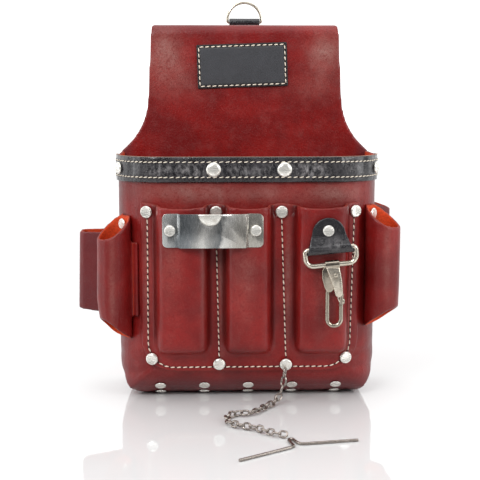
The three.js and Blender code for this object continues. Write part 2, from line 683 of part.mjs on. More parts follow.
add('back_panel', drilled(backPanel()), OXBLOOD);
add('front_shell', drilled(layer(-BODY_LEATHER, 0, RIM_HEIGHT, PANEL_Y - GAP)), OXBLOOD);
add(
  'base_insert',
  drilled(layer(-BODY_LEATHER - GAP - POCKET_LEATHER, -BODY_LEATHER - GAP, 60, PANEL_Y - GAP - 2)
    .intersect(block([-HALF_WIDTH, FRONT_Y, 0], [HALF_WIDTH, BACK_Y, 26]))),
  OXBLOOD,
);
add('pocket_panel', drilled(pocketPanel()), OXBLOOD);
add(
  'rim_band',
  drilled(layer(GAP, BAND_OUT, RIM_HEIGHT, PANEL_Y - GAP - BAND_END_SETBACK)
    .intersect(block(
      [-BODY_WIDTH, FRONT_Y - 20, RIM_HEIGHT - BAND_HEIGHT],
      [BODY_WIDTH, BACK_Y, RIM_HEIGHT],
    ))),
  TRIM_BLACK,
);
FRONT_LOOPS.forEach((loop) => add(`loop_${loop.word}_front`, drilled(frontLoop(loop)), OXBLOOD));
REAR_LOOPS.forEach((loop) => add(`loop_${loop.word}_rear`, drilled(rearLoop(loop)), OXBLOOD));

const label = add(
  'label_patch',
  new THREE.BoxGeometry(LABEL_WIDTH, LABEL_THICKNESS, LABEL_HEIGHT),
  CHARCOAL,
);
label.position.set(LABEL_CENTRE_X, PANEL_Y - GAP - LABEL_THICKNESS / 2, LABEL_CENTRE_Z);
label.rotation.y = -deg(LABEL_TILT_DEG);

// ---------------------------------------------------------------- tape clip

/** The bright plate bridging two pockets, with a thumb notch in its upper edge. */
function tapeClip() {
  const y = CLIP_BACK_Y - CLIP_SHEET / 2;
  const raised = y - CLIP_RAISE;
  const line = [
    [CLIP_LEFT, y],
    [CLIP_LEFT + CLIP_TAB - CLIP_SLOPE, y],
    [CLIP_LEFT + CLIP_TAB, raised],
    [CLIP_RIGHT - CLIP_TAB, raised],
    [CLIP_RIGHT - CLIP_TAB + CLIP_SLOPE, y],
    [CLIP_RIGHT, y],
  ];
  const top = CLIP_FOOT + CLIP_HEIGHT;
  const face = rounded(
    [[CLIP_LEFT, CLIP_FOOT], [CLIP_RIGHT, CLIP_FOOT], [CLIP_RIGHT, top], [CLIP_LEFT, top]],
    4,
  );
  return prismZ(ribbon(line, CLIP_SHEET), CLIP_FOOT - 1, top + 1)
    .intersect(prismY(face, raised - 5, y + 5))
    .subtract(bar([CLIP_NOTCH_X, raised - 5, top], [CLIP_NOTCH_X, y + 5, top], CLIP_NOTCH_RADIUS, 28));
}
add('tape_clip', drilled(tapeClip()), NICKEL);

// ---------------------------------------------------------------- top ring and its tab

const DRING_BAR_Y = RING_TAB_FRONT_Y + TAB_LAYER + DRING_WIRE_RADIUS;
const DRING_TAB_HALF = DRING_RADIUS - DRING_BEND - TAB_CLEARANCE;

/** A strip doubled round a ring's bar: an eye with two layers hanging from it. */
function ringTab() {
  const hole = DRING_WIRE_RADIUS + TAB_CLEARANCE;
  const eye = hole + TAB_LAYER;
  const foot = DRING_BAR_HEIGHT - RING_TAB_LENGTH;
  const legs = block([-DRING_TAB_HALF, RING_TAB_FRONT_Y, foot], [DRING_TAB_HALF, RING_TAB_REAR_Y, DRING_BAR_HEIGHT - 1]);
  const ends = DRING_TAB_HALF;
  return legs
    .add(bar([-ends, DRING_BAR_Y, DRING_BAR_HEIGHT], [ends, DRING_BAR_Y, DRING_BAR_HEIGHT], eye, 24))
    .subtract(bar([-ends - 1, DRING_BAR_Y, DRING_BAR_HEIGHT], [ends + 1, DRING_BAR_Y, DRING_BAR_HEIGHT], hole, 20));
}

/** A wire ring with one straight side. */
function topRing() {
  const tight = DRING_BEND;
  const line = [
    [-DRING_RADIUS / 2, 0],
    ...arc(tight - DRING_RADIUS, tight, tight, tight, -90, -180, 3).slice(0, -1),
    ...arc(0, tight, DRING_RADIUS, DRING_RISE, 180, 0, 16),
    ...arc(DRING_RADIUS - tight, tight, tight, tight, 0, -90, 3).slice(1),
    [DRING_RADIUS / 2, 0],
  ];
  const bent = wire(line.map(([x, z]) => [x, DRING_BAR_Y, DRING_BAR_HEIGHT + z]), DRING_WIRE_RADIUS, 10);
  const ends = DRING_RADIUS / 2 + 1;
  const joint = bar(
    [-ends, DRING_BAR_Y, DRING_BAR_HEIGHT],
    [ends, DRING_BAR_Y, DRING_BAR_HEIGHT],
    DRING_WIRE_RADIUS * 0.99,
    10,
  );
  return solid(bent).add(joint);
}
add('ring_tab', drilled(ringTab()), TRIM_BLACK);
add('top_ring', topRing(), NICKEL);

// ---------------------------------------------------------------- hook tab, ring and snap hook

const HOOK_EYE_HOLE = HOOK_RING_WIRE_RADIUS + TAB_CLEARANCE;
const HOOK_EYE = HOOK_EYE_HOLE + TAB_LAYER;
const HOOK_BAR_Y = HOOK_TAB_BACK_Y - HOOK_EYE + 0.4;

/** Moves a shape drawn round the hook's rivet to its place, leaning as the tab does. */
function onHook(body) {
  return body.rotate([0, -HOOK_TILT_DEG, 0]).translate([HOOK_X, 0, HOOK_RIVET_Z]);
}

/** The half-round tab doubled round the ring's upper bar. */
function hookTab() {
  const crown = 13.2;
  const crownZ = HOOK_TAB_TOP - crown;
  const foot = -HOOK_BAR_DROP - HOOK_EYE;
  const face = mirrored([[HOOK_TAB_HALF_WIDTH, foot - 1], ...arc(0, crownZ, crown, crown, 8, 90, 8).slice(0, -1), [0.01, HOOK_TAB_TOP]]);
  const eyeBox = HOOK_TAB_HALF_WIDTH + 2;
  const side = [
    [HOOK_TAB_BACK_Y, HOOK_TAB_TOP],
    [HOOK_TAB_FRONT_Y, HOOK_TAB_TOP],
    [HOOK_TAB_FRONT_Y, -4],
    [HOOK_BAR_Y - HOOK_EYE, -HOOK_BAR_DROP],
    [HOOK_BAR_Y + HOOK_EYE * 0.9, -HOOK_BAR_DROP],
    [HOOK_TAB_BACK_Y, -4],
  ];
  const eye = bar([-eyeBox, HOOK_BAR_Y, -HOOK_BAR_DROP], [eyeBox, HOOK_BAR_Y, -HOOK_BAR_DROP], HOOK_EYE, 24);
  const hole = bar([-eyeBox - 1, HOOK_BAR_Y, -HOOK_BAR_DROP], [eyeBox + 1, HOOK_BAR_Y, -HOOK_BAR_DROP], HOOK_EYE_HOLE, 20);
  const tab = prismX(side, -eyeBox, eyeBox).add(eye).subtract(hole);
  return onHook(tab.intersect(prismY(face, HOOK_BAR_Y - 10, HOOK_TAB_BACK_Y + 5)));
}

/** The oblong ring the snap hook hangs on, its wire ends joined inside the tab. */
function hookRing() {
  const [tight, easy] = [2.6, 6.5];
  const side = HOOK_RING_HALF_WIDTH;
  const high = -HOOK_BAR_DROP;
  const low = high - HOOK_RING_DROP;
  const line = [
    [side / 2, high],
    ...arc(side - tight, high - tight, tight, tight, 90, 0, 4),
    ...arc(side - easy, low + easy, easy, easy, 0, -90, 6),
    ...arc(easy - side, low + easy, easy, easy, -90, -180, 6),
    ...arc(tight - side, high - tight, tight, tight, 180, 90, 4),
    [-side / 2, high],
  ];
  const bent = wire(line.map(([x, z]) => [x, HOOK_BAR_Y, z]), HOOK_RING_WIRE_RADIUS, 12);
  const ends = side / 2 + 1;
  const joint = bar([-ends, HOOK_BAR_Y, high], [ends, HOOK_BAR_Y, high], HOOK_RING_WIRE_RADIUS * 0.99, 12);
  return onHook(solid(bent).add(joint));
}

const ringLow = new THREE.Vector3(SNAP_BAR_OFFSET, 0, -HOOK_BAR_DROP - HOOK_RING_DROP)
  .applyAxisAngle(new THREE.Vector3(0, 1, 0), -deg(HOOK_TILT_DEG))
  .add(new THREE.Vector3(HOOK_X, HOOK_BAR_Y, HOOK_RIVET_Z));
const SNAP_EYE_HOLE = HOOK_RING_WIRE_RADIUS + TAB_CLEARANCE;
const SNAP_EYE = SNAP_EYE_HOLE + 1.5;
const SNAP_EYE_HALF = 5;
const SNAP_SHANK_X = -3.4;
const SNAP_TIP_X = SNAP_SHANK_X + 2 * SNAP_BEND_RADIUS;
const SNAP_TIP_Z = -26;
const SNAP_PIN = [0.4, -8.4];
const SNAP_PIN_RADIUS = 1.1;
const SNAP_LUG_HALF = 1.6;

/** Moves a shape drawn round the snap hook's eye to its place on the ring. */
function onRing(body) {
  return body.translate(ringLow.toArray());
}

/** The hook itself: an eye round the ring's bar, a lug for the gate's pin and the bent wire. */
function snapBody() {
  const eyeTilt = [0, -HOOK_TILT_DEG, 0];
  const eye = bar([-SNAP_EYE_HALF, 0, 0], [SNAP_EYE_HALF, 0, 0], SNAP_EYE, 20).rotate(eyeTilt);
  const hole = bar([-SNAP_EYE_HALF - 2, 0, 0], [SNAP_EYE_HALF + 2, 0, 0], SNAP_EYE_HOLE, 20).rotate(eyeTilt);
  const lug = prismY(
    rounded([[-5, -3], [4, -3], [SNAP_PIN[0] + 3, SNAP_PIN[1] - 2.6], [-6.5, -11.5], [-8.4, -9]], [0, 0, 2, 1, 1]),
    -SNAP_LUG_HALF,
    SNAP_LUG_HALF,
  );
  const low = -SNAP_LENGTH + SNAP_BEND_RADIUS;
  const bend = arc((SNAP_SHANK_X + SNAP_TIP_X) / 2, low, SNAP_BEND_RADIUS, SNAP_BEND_RADIUS, 180, 360, 10);
  const line = [[-6.4, -7], [-8.2, -11.5], [-7.4, -14.5], [SNAP_SHANK_X, -21.5], [SNAP_SHANK_X, -28], ...bend, [SNAP_TIP_X, SNAP_TIP_Z]];
  const curve = new THREE.CatmullRomCurve3(line.map(([x, z]) => new THREE.Vector3(x, 0, z)), false, 'centripetal');
  const hook = solid(wireAlong(curve, 40, SNAP_WIRE_RADIUS, 10));
  const pinHole = bar([SNAP_PIN[0], -5, SNAP_PIN[1]], [SNAP_PIN[0], 5, SNAP_PIN[1]], SNAP_PIN_RADIUS + 0.1, 16);
  return onRing(eye.add(lug).add(hook).subtract(hole).subtract(pinHole));
}

const GATE_CHEEK_IN = SNAP_WIRE_RADIUS + 0.35;
const GATE_CHEEK_OUT = GATE_CHEEK_IN + SNAP_SHEET;
const GATE_EDGE_X = -4.2; // inner edge of the gate at its top
const GATE_LEAN = 7.4; // how far that edge runs towards the tip
const GATE_WEB_TOP = -23.5;

/** The gate that closes the mouth: two cheeks over the hook, joined by a web inside its tip. */
function snapGate() {
  const [high, low] = [-5, -29];
  const edge = (z) => GATE_EDGE_X + ((high - z) / (high - low)) * GATE_LEAN;
  const outline = rounded(
    [[edge(high), high], [edge(high) + 9.4, high], [9.8, low], [edge(low), low]],
    [1.5, 1.5, 1.5, 0.4],
  );
  const clear = [
    [-12, 2],
    [12, 2],
    [12, low - 2],
    [edge(low - 2) + SNAP_SHEET, low - 2],
    [edge(GATE_WEB_TOP) + SNAP_SHEET, GATE_WEB_TOP],
    [-12, GATE_WEB_TOP],
  ];
  const cheeks = prismY(outline, -GATE_CHEEK_OUT, GATE_CHEEK_OUT)
    .subtract(prismY(clear, -GATE_CHEEK_IN, GATE_CHEEK_IN));
  const pinHole = bar([SNAP_PIN[0], -8, SNAP_PIN[1]], [SNAP_PIN[0], 8, SNAP_PIN[1]], SNAP_PIN_RADIUS + 0.1, 16);
  return onRing(cheeks.subtract(pinHole));
}

/** The gate's pin, headed at both ends. */
function gatePin() {
  const reach = GATE_CHEEK_OUT + 0.2;
  const at = (y) => [SNAP_PIN[0], y, SNAP_PIN[1]];
  return onRing(bar(at(-reach - 0.3), at(reach + 0.3), SNAP_PIN_RADIUS, 14)
    .add(bar(at(reach), at(reach + 0.8), SNAP_PIN_RADIUS + 0.8, 14))
    .add(bar(at(-reach - 0.8), at(-reach), SNAP_PIN_RADIUS + 0.8, 14)));
}
add('hook_tab', drilled(hookTab()), TRIM_BLACK);
add('hook_ring', hookRing(), NICKEL);
add('snap_body', snapBody(), NICKEL);
add('snap_gate', snapGate(), NICKEL);
add('snap_gate_pin', gatePin(), NICKEL);

// ---------------------------------------------------------------- tape chain and its bar

/** The chain's route: down from its rivet, onto the surface, round one lazy bend and out. */
const CHAIN_ROUTE = [
  [29.2, -50.2, 25.4],
  [28.4, -50.6, 19],
  [26.6, -51.2, 12],
  [23.4, -54, 5.6],
  [18.6, -60, 3.2],
  [12.6, -68.4, 3],
  [6, -78, 3],
  [-0.6, -85.4, 3],
  [-8.4, -86.4, 3],
  [-15.6, -90, 3],
  [-19, -98.4, 3],
  [-18, -108.2, 3],
  [-12.6, -116.4, 3],
  [-4.6, -121.4, 3],
  [3.4, -126.4, 3],
  [9.6, -133.4, 3],
  [16.4, -139, 3],
  [22.6, -142.6, 3],
];

/** The bent wire on the end of the chain, which is pushed through a roll of tape. */
function tBar() {
  const z = T_BAR_WIRE_RADIUS + 0.1;
  const stops = [
    [-13, -194],
    [24.6, -167.2],
    [27.4, -164],
    [26.6, -160.4],
    [24.6, -150.6],
    [25.4, -147.4],
    [27.8, -148.2],
    [30.4, -156],
    [32.6, -158.6],
    [36, -158.8],
    [75.4, -151.6],
  ];
  return wire(stops.map(([x, y]) => [x, y, z]), T_BAR_WIRE_RADIUS, 8);
}
const chainCurve = new THREE.CatmullRomCurve3(CHAIN_ROUTE.map((p) => new THREE.Vector3(...p)), false, 'centripetal');
add('tape_chain', wireAlong(chainCurve, 34, CHAIN_TUBE_RADIUS, 8), STEEL);
add('tape_t_bar', tBar(), STEEL);

export default pouch;
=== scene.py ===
"""Dresses a leather electrician's tool pouch: hides, thread, rivets, fittings and its tape chain."""

import json
import logging
import math
from collections.abc import Callable, Sequence
from dataclasses import dataclass, field
from enum import Enum
from typing import Protocol

import bmesh
import bpy
import numpy as np
from mathutils import Matrix, Vector
from mathutils.bvhtree import BVHTree


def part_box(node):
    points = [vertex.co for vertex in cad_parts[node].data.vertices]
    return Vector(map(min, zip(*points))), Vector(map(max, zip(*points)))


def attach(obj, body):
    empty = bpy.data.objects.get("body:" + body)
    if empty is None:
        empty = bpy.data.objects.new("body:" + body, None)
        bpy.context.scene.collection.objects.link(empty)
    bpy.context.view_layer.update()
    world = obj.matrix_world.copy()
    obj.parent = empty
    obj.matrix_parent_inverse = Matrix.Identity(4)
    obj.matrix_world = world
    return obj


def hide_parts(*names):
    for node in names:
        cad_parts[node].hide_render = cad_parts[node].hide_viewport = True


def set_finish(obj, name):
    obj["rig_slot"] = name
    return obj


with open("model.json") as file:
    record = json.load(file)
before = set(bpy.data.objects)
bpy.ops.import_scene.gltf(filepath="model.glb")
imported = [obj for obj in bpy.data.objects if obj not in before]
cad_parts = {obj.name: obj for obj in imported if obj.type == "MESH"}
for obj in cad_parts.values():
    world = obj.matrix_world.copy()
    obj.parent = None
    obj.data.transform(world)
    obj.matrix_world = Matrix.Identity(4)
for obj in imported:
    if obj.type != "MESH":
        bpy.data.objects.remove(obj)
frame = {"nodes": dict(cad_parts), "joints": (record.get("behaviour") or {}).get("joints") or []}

LOG = logging.getLogger("pouch")
MM = 0.001
Colour = tuple[float, float, float]
Place = tuple[float, float]
Array = np.ndarray


class Body(Enum):
    """The rigid bodies that pieces ride on."""

    POUCH = "pouch"
    TOP_RING = "top_ring"
    HOOK_RING = "hook_ring"
    SNAP_HOOK = "snap_hook"
    GATE = "gate"


class Slot(Enum):
    """The record's material slots."""

    OXBLOOD = "oxblood_leather"
    BLACK = "black_leather"
    LABEL = "label_cloth"
    RIVET = "nickel_rivet"
    PLATE = "nickel_plate"
    CHAIN = "steel_chain"


class Cap(Enum):
    """The kinds of rivet cap, as radius and height shares of the cap, from its foot to its middle."""

    DOME = ((0.97, 0.0), (1.0, 0.1), (0.985, 0.28), (0.91, 0.52), (0.77, 0.75), (0.57, 0.9), (0.3, 0.98))
    LOW = ((0.95, 0.0), (1.0, 0.06), (0.99, 0.16), (0.9, 0.27), (0.72, 0.36), (0.5, 0.42), (0.25, 0.45))
    DISC = ((0.96, 0.0), (1.0, 0.12), (1.0, 0.34), (0.96, 0.54), (0.86, 0.74), (0.8, 0.8), (0.75, 0.77), (0.6, 0.72))


# ---------------------------------------------------------------- shader kit


class Value:
    """A shader socket that takes part in Python arithmetic."""

    def __init__(self, recipe: "Recipe", socket: bpy.types.NodeSocket) -> None:
        """Wraps a socket of a recipe's node tree."""
        self.recipe = recipe
        self.socket = socket

    def _math(self, operation: str, first: object, second: object) -> "Value":
        """Adds one Math node.

        Args:
            operation: The node's operation.
            first: Its first value or link.
            second: Its second value or link.

        Returns:
            The node's result.
        """
        return self.recipe.node("ShaderNodeMath", {"operation": operation}, {0: first, 1: second})

    def __add__(self, other: object) -> "Value":
        """Adds."""
        return self._math("ADD", self, other)

    def __mul__(self, other: object) -> "Value":
        """Multiplies."""
        return self._math("MULTIPLY", self, other)

    def __rsub__(self, other: object) -> "Value":
        """Subtracts this from a number."""
        return self._math("SUBTRACT", other, self)

    __radd__ = __add__
    __rmul__ = __mul__

    def most(self, other: object) -> "Value":
        """The larger of two."""
        return self._math("MAXIMUM", self, other)


class Recipe:
    """One material while its nodes are being laid out."""

    def __init__(self, name: str, world: bpy.types.World | None = None) -> None:
        """Starts an empty material with one Principled shader, or a world with one background."""
        self.material = None if world else bpy.data.materials.new(name)
        holder = world or self.material
        holder.use_nodes = True
        self.tree = holder.node_tree
        self.tree.nodes.clear()
        output = self.tree.nodes.new("ShaderNodeOutputWorld" if world else "ShaderNodeOutputMaterial")
        self.shader = self.tree.nodes.new("ShaderNodeBackground" if world else "ShaderNodeBsdfPrincipled")
        self.tree.links.new(self.shader.outputs[0], output.inputs["Surface"])
        self.place = self.node("ShaderNodeTexCoord", output="Generated" if world else "Object")

    def node(
        self,
        kind: str,
        settings: dict[str, object] | None = None,
        inputs: dict[object, object] | None = None,
        output: object = 0,
    ) -> Value:
        """Adds any node.

        Args:
            kind: The node's type.
            settings: Its properties; "stops" fills a colour ramp.
            inputs: Values or links for its sockets, by name or number.
            output: The output socket to hand back.

        Returns:
            The chosen output.
        """
        made = self.tree.nodes.new(kind)
        for key, setting in (settings or {}).items():
            if key == "stops":
                ramp = made.color_ramp.elements
                while len(ramp) < len(setting):
                    ramp.new(0.5)
                for element, (place, colour) in zip(ramp, setting):
                    element.position = place
                    element.color = (*colour, 1.0)
            else:
                setattr(made, key, setting)
        for key, item in (inputs or {}).items():
            socket = made.inputs[key]
            if isinstance(item, Value):
                self.tree.links.new(item.socket, socket)
            elif isinstance(item, tuple) and len(item) == 3 and socket.type == "RGBA":
                socket.default_value = (*item, 1.0)
            else:
                socket.default_value = item
        return Value(self, made.outputs[output])

    def noise(self, size: float, detail: float = 3.0, roughness: float = 0.55, place: Value | None = None) -> Value:
        """Cloudy noise whose lumps are about `size` metres across."""
        inputs = {"Vector": place or self.place, "Scale": 1 / size, "Detail": detail, "Roughness": roughness}
        return self.node("ShaderNodeTexNoise", {}, inputs, "Fac")

    def cells(self, size: float, feature: str = "F1", place: Value | None = None) -> Value:
        """Distance into cells about `size` metres across."""
        inputs = {"Vector": place or self.place, "Scale": 1 / size}
        return self.node("ShaderNodeTexVoronoi", {"feature": feature}, inputs, "Distance")

    def stretched(self, scale: tuple[float, float, float], turn: tuple[float, float, float] = (0, 0, 0)) -> Value:
        """The object's coordinates stretched and turned."""
        return self.node("ShaderNodeMapping", {}, {"Vector": self.place, "Scale": scale, "Rotation": turn})

    def span(self, value: Value, low: float, high: float, out_low: float = 0.0, out_high: float = 1.0) -> Value:
        """Maps a range of a value to another, clamped and eased."""
        inputs = {0: value, 1: low, 2: high, 3: out_low, 4: out_high}
        return self.node("ShaderNodeMapRange", {"interpolation_type": "SMOOTHSTEP"}, inputs)

    def blend(self, share: object, first: object, second: object) -> Value:
        """Mixes two colours."""
        return self.node("ShaderNodeMix", {"data_type": "RGBA"}, {0: share, 6: first, 7: second}, 2)

    def axis(self, name: str) -> Value:
        """One of the coordinates: X, Y or Z."""
        return self.node("ShaderNodeSeparateXYZ", {}, {0: self.place}, name)

    def mask(self, name: str) -> Value:
        """A number kept on the mesh's points."""
        return self.node("ShaderNodeAttribute", {"attribute_name": name}, {}, "Fac")

    def bump(self, height: Value, depth: float, strength: float = 1.0) -> None:
        """Feeds the shader's normal from a height of that depth in metres."""
        inputs = {"Height": height, "Distance": depth, "Strength": strength}
        self.set("Normal", self.node("ShaderNodeBump", {}, inputs, "Normal"))

    def set(self, socket: str, item: object) -> None:
        """Sets or links one socket of the shader."""
        if isinstance(item, Value):
            self.tree.links.new(item.socket, self.shader.inputs[socket])
        elif isinstance(item, tuple):
            self.shader.inputs[socket].default_value = (*item, 1.0)
        else:
            self.shader.inputs[socket].default_value = item


class Finish(Protocol):
    """Anything that can make a material."""

    def make(self) -> bpy.types.Material:
        """Lays out the material's nodes."""


@dataclass(frozen=True)
class OxbloodHide:
    """Pebbled oxblood leather with a suede flesh side and raw cut edges, with painted highlights and painted shade
    from its masks.
    """

    name: str = "oxblood_hide"
    grain: Colour = (0.232, 0.0075, 0.0062)
    deep: Colour = (0.140, 0.0028, 0.0030)
    # Pale colour for faint random patches of wear and for painted highlights: sheen and fine glints.
    wear_and_sheen: Colour = (0.300, 0.145, 0.125)
    # Painted purple shade for the sides and the foot.
    cool: Colour = (0.098, 0.022, 0.026)
    flesh: Colour = (0.66, 0.060, 0.008)
    edge: Colour = (0.270, 0.036, 0.022)
    # Painted shade for the pocket valleys and the undersides of the loops.
    shade: Colour = (0.050, 0.0012, 0.0014)
    pebble: float = 1.5 * MM

    def make(self) -> bpy.types.Material:
        """Lays out the nodes.

        Returns:
            The material.
        """
        r = Recipe(self.name)
        cloud = r.noise(42 * MM, 4.0, 0.6)
        patch = r.noise(9 * MM, 4.0, 0.62)
        pebble = r.cells(self.pebble, "SMOOTH_F1")
        fine = r.noise(0.7 * MM, 2.0, 0.6)
        flesh = r.mask("flesh")
        edge = r.mask("edge")
        recess = r.mask("recess")
        speckle = r.span(fine, 0.3, 0.7, 0.62, 1.0) * r.span(patch, 0.3, 0.7, 0.7, 1.0)

        grain = r.blend(r.span(cloud, 0.35, 0.68), self.deep, self.grain)
        grain = r.blend(r.span(patch, 0.5, 0.85) * 0.10, grain, self.wear_and_sheen)
        # Painted purple shade where the hide turns away at its sides and foot.
        grain = r.blend(r.mask("cool") * 0.8, grain, self.cool)
        # Painted highlights: the sheen mask in the pale colour, broken up by speckle.
        grain = r.blend(r.mask("sheen") * speckle, grain, self.wear_and_sheen)
        grain = r.blend(r.span(pebble, 0.4, 0.8) * 0.45, grain, self.deep)
        # Fine painted glints of light over the whole grain.
        grain = r.blend(r.span(fine, 0.56, 0.72) * 0.16, grain, self.wear_and_sheen)
        # Painted shade in the pocket valleys and under the loops' ends.
        grain = r.blend(recess * 0.85, grain, self.shade)
        fibre = r.noise(1.6 * MM, 5.0, 0.75)
        suede = r.blend(r.span(fibre, 0.3, 0.7), tuple(c * 0.62 for c in self.flesh), self.flesh)
        raw = r.blend(r.span(fibre, 0.35, 0.65), tuple(c * 0.55 for c in self.edge), self.edge)
        r.set("Base Color", r.blend(edge, r.blend(flesh, grain, suede), raw))

        shine = r.span(patch, 0.3, 0.75, 0.33, 0.47) + r.span(fine, 0.3, 0.7, -0.03, 0.05)
        dull = flesh.most(edge)
        r.set("Roughness", shine + dull * 0.42)
        r.set("Coat Weight", (1.0 - dull) * 0.07)
        r.set("Coat Roughness", 0.22)
        r.set("Specular IOR Level", 0.34)
        height = pebble * -0.55 + fine * 0.4 + patch * 0.9
        r.bump(height + fibre * dull * 1.5, 0.34 * MM, 0.8)
        return r.material


@dataclass(frozen=True)
class BlackTrim:
    """Glossy black leather, creased where it is bent, with painted highlight patches."""

    name: str = "black_trim"
    body: Colour = (0.0085, 0.0075, 0.0100)
    scuffed: Colour = (0.030, 0.026, 0.031)
    # Grey for the painted highlight patches.
    painted_highlight: Colour = (0.36, 0.34, 0.34)
    raw: Colour = (0.40, 0.20, 0.10)

    def make(self) -> bpy.types.Material:
        """Lays out the nodes.

        Returns:
            The material.
        """
        r = Recipe(self.name)
        warp = r.stretched((1.0, 1.0, 0.42))
        crease = r.cells(5.5 * MM, "DISTANCE_TO_EDGE", warp)
        fine = r.cells(1.1 * MM, "DISTANCE_TO_EDGE")
        cloud = r.noise(14 * MM, 4.0, 0.6)
        edge = r.mask("edge")
        lines = r.span(crease, 0.0, 0.09)
        skin = r.blend(r.span(cloud, 0.48, 0.72), self.body, self.scuffed)
        # Painted highlight patches, broken into streaks.
        streak = r.noise(4 * MM, 5.0, 0.7, r.stretched((1.2, 1.0, 0.8)))
        skin = r.blend(r.mask("sheen") * r.span(streak, 0.4, 0.7), skin, self.painted_highlight)
        skin = r.blend(r.span(fine, 0.0, 0.12, 0.35, 0.0), skin, (0.003, 0.003, 0.004))
        r.set("Base Color", r.blend(edge, skin, self.raw))
        r.set("Roughness", r.span(cloud, 0.3, 0.7, 0.17, 0.36) + edge * 0.4)
        r.set("Coat Weight", (1.0 - edge) * 0.45)
        r.set("Coat Roughness", 0.14)
        wave = r.noise(6 * MM, 3.0, 0.5)
        r.bump(lines * 0.12 + wave * 1.5 + r.span(fine, 0.0, 0.1) * 0.12, 0.45 * MM, 0.75)
        return r.material


@dataclass(frozen=True)
class LabelCloth:
    """A plain charcoal patch with a black turned edge."""

    name: str = "label_cloth"
    field: Colour = (0.030, 0.031, 0.036)
    border: Colour = (0.012, 0.011, 0.012)
    thread: float = 0.55 * MM

    def make(self) -> bpy.types.Material:
        """Lays out the nodes.

        Returns:
            The material.
        """
        r = Recipe(self.name)
        weave = r.cells(self.thread, "F1", r.stretched((1.0, 0.2, 1.0)))
        cloud = r.noise(11 * MM, 3.0)
        plain = r.blend(r.span(cloud, 0.35, 0.7), tuple(c * 0.72 for c in self.field), self.field)
        plain = r.blend(r.span(weave, 0.3, 0.7) * 0.5, plain, tuple(c * 1.8 for c in self.field))
        r.set("Base Color", r.blend(r.mask("border"), plain, self.border))
        r.set("Roughness", r.mask("border") * -0.2 + 0.62)
        r.bump(weave, 0.12 * MM, 0.7)
        return r.material


@dataclass(frozen=True)
class Metal:
    """A plated or bare metal with rub marks and a little tarnish."""

    name: str
    bright: Colour
    dull: Colour
    roughness: float
    mark: float = 2.5 * MM
    metallic: float = 1.0

    def make(self) -> bpy.types.Material:
        """Lays out the nodes.

        Returns:
            The material.
        """
        r = Recipe(self.name)
        cloud = r.noise(self.mark * 3, 4.0, 0.65)
        grit = r.noise(self.mark * 0.22, 3.0, 0.7)
        scratch = r.noise(self.mark * 0.5, 2.0, 0.5, r.stretched((0.12, 1.0, 1.6), (0.0, 0.5, 0.2)))
        tarnish = r.span(cloud, 0.5, 0.75)
        r.set("Base Color", r.blend(tarnish * 0.7, self.bright, self.dull))
        r.set("Metallic", self.metallic)
        rough = r.span(scratch, 0.35, 0.7, -0.04, 0.07) + self.roughness
        r.set("Roughness", rough + tarnish * 0.1)
        r.bump(grit + scratch * 0.4, 0.03 * MM, 0.25)
        return r.material


@dataclass(frozen=True)
class BrushedPlatePaintedReflections:
    """Bright brushed plate with painted reflections: broad soft light and dark bands in its colour that run
    slantwise across it.
    """

    name: str = "brushed_plate_painted_reflections"
    # Where the painted reflection bands start along the slant, how far they spread, and their light and dark
    # colours.
    start: float = -102 * MM
    width: float = 72 * MM
    stops: tuple[tuple[float, Colour], ...] = (
        (0.0, (0.62, 0.62, 0.60)), (0.12, (0.30, 0.31, 0.31)), (0.2, (0.13, 0.145, 0.155)),
        (0.34, (0.20, 0.215, 0.225)), (0.5, (0.34, 0.34, 0.33)), (0.62, (0.60, 0.59, 0.56)),
        (0.72, (0.30, 0.30, 0.29)), (0.82, (0.14, 0.15, 0.155)), (0.88, (0.66, 0.65, 0.62)),
        (1.0, (0.40, 0.38, 0.34)),
    )

    def make(self) -> bpy.types.Material:
        """Lays out the nodes.

        Returns:
            The material.
        """
        r = Recipe(self.name)
        sway = r.noise(9 * MM, 3.0, 0.6)
        # Painted reflections: a ramp of light and dark bands along a wavy slant.
        slant = r.axis("X") + r.axis("Z") * -0.22 + sway * 12 * MM
        along = r.span(slant, self.start, self.start + self.width)
        tone = r.node("ShaderNodeValToRGB", {"stops": self.stops}, {0: along}, "Color")
        hair = r.noise(0.5 * MM, 3.0, 0.7, r.stretched((1.0, 1.0, 0.08)))
        tone = r.blend(r.span(hair, 0.45, 0.8) * 0.3, tone, (0.72, 0.71, 0.69))
        r.set("Base Color", tone)
        r.set("Metallic", 0.78)
        r.set("Roughness", r.span(hair, 0.3, 0.7, 0.17, 0.3))
        r.bump(hair, 0.02 * MM, 0.3)
        return r.material


@dataclass(frozen=True)
class Thread:
    """Waxed thread, or the dark needle holes beside it."""

    name: str
    colour: Colour
    shade: Colour
    roughness: float = 0.55

    def make(self) -> bpy.types.Material:
        """Lays out the nodes.

        Returns:
            The material.
        """
        r = Recipe(self.name)
        ply = r.noise(0.5 * MM, 2.0, 0.6, r.stretched((1.0, 1.0, 2.2), (0.0, 0.7, 0.0)))
        grime = r.noise(16 * MM, 3.0, 0.6)
        tone = r.blend(r.span(ply, 0.35, 0.65), self.shade, self.colour)
        r.set("Base Color", r.blend(r.span(grime, 0.52, 0.78) * 0.6, tone, self.shade))
        r.set("Roughness", self.roughness)
        r.bump(ply, 0.15 * MM, 0.7)
        return r.material


def made(finish: Finish) -> bpy.types.Material:
    """A field whose material is made once, when the finishes are gathered."""
    return field(default_factory=finish.make)


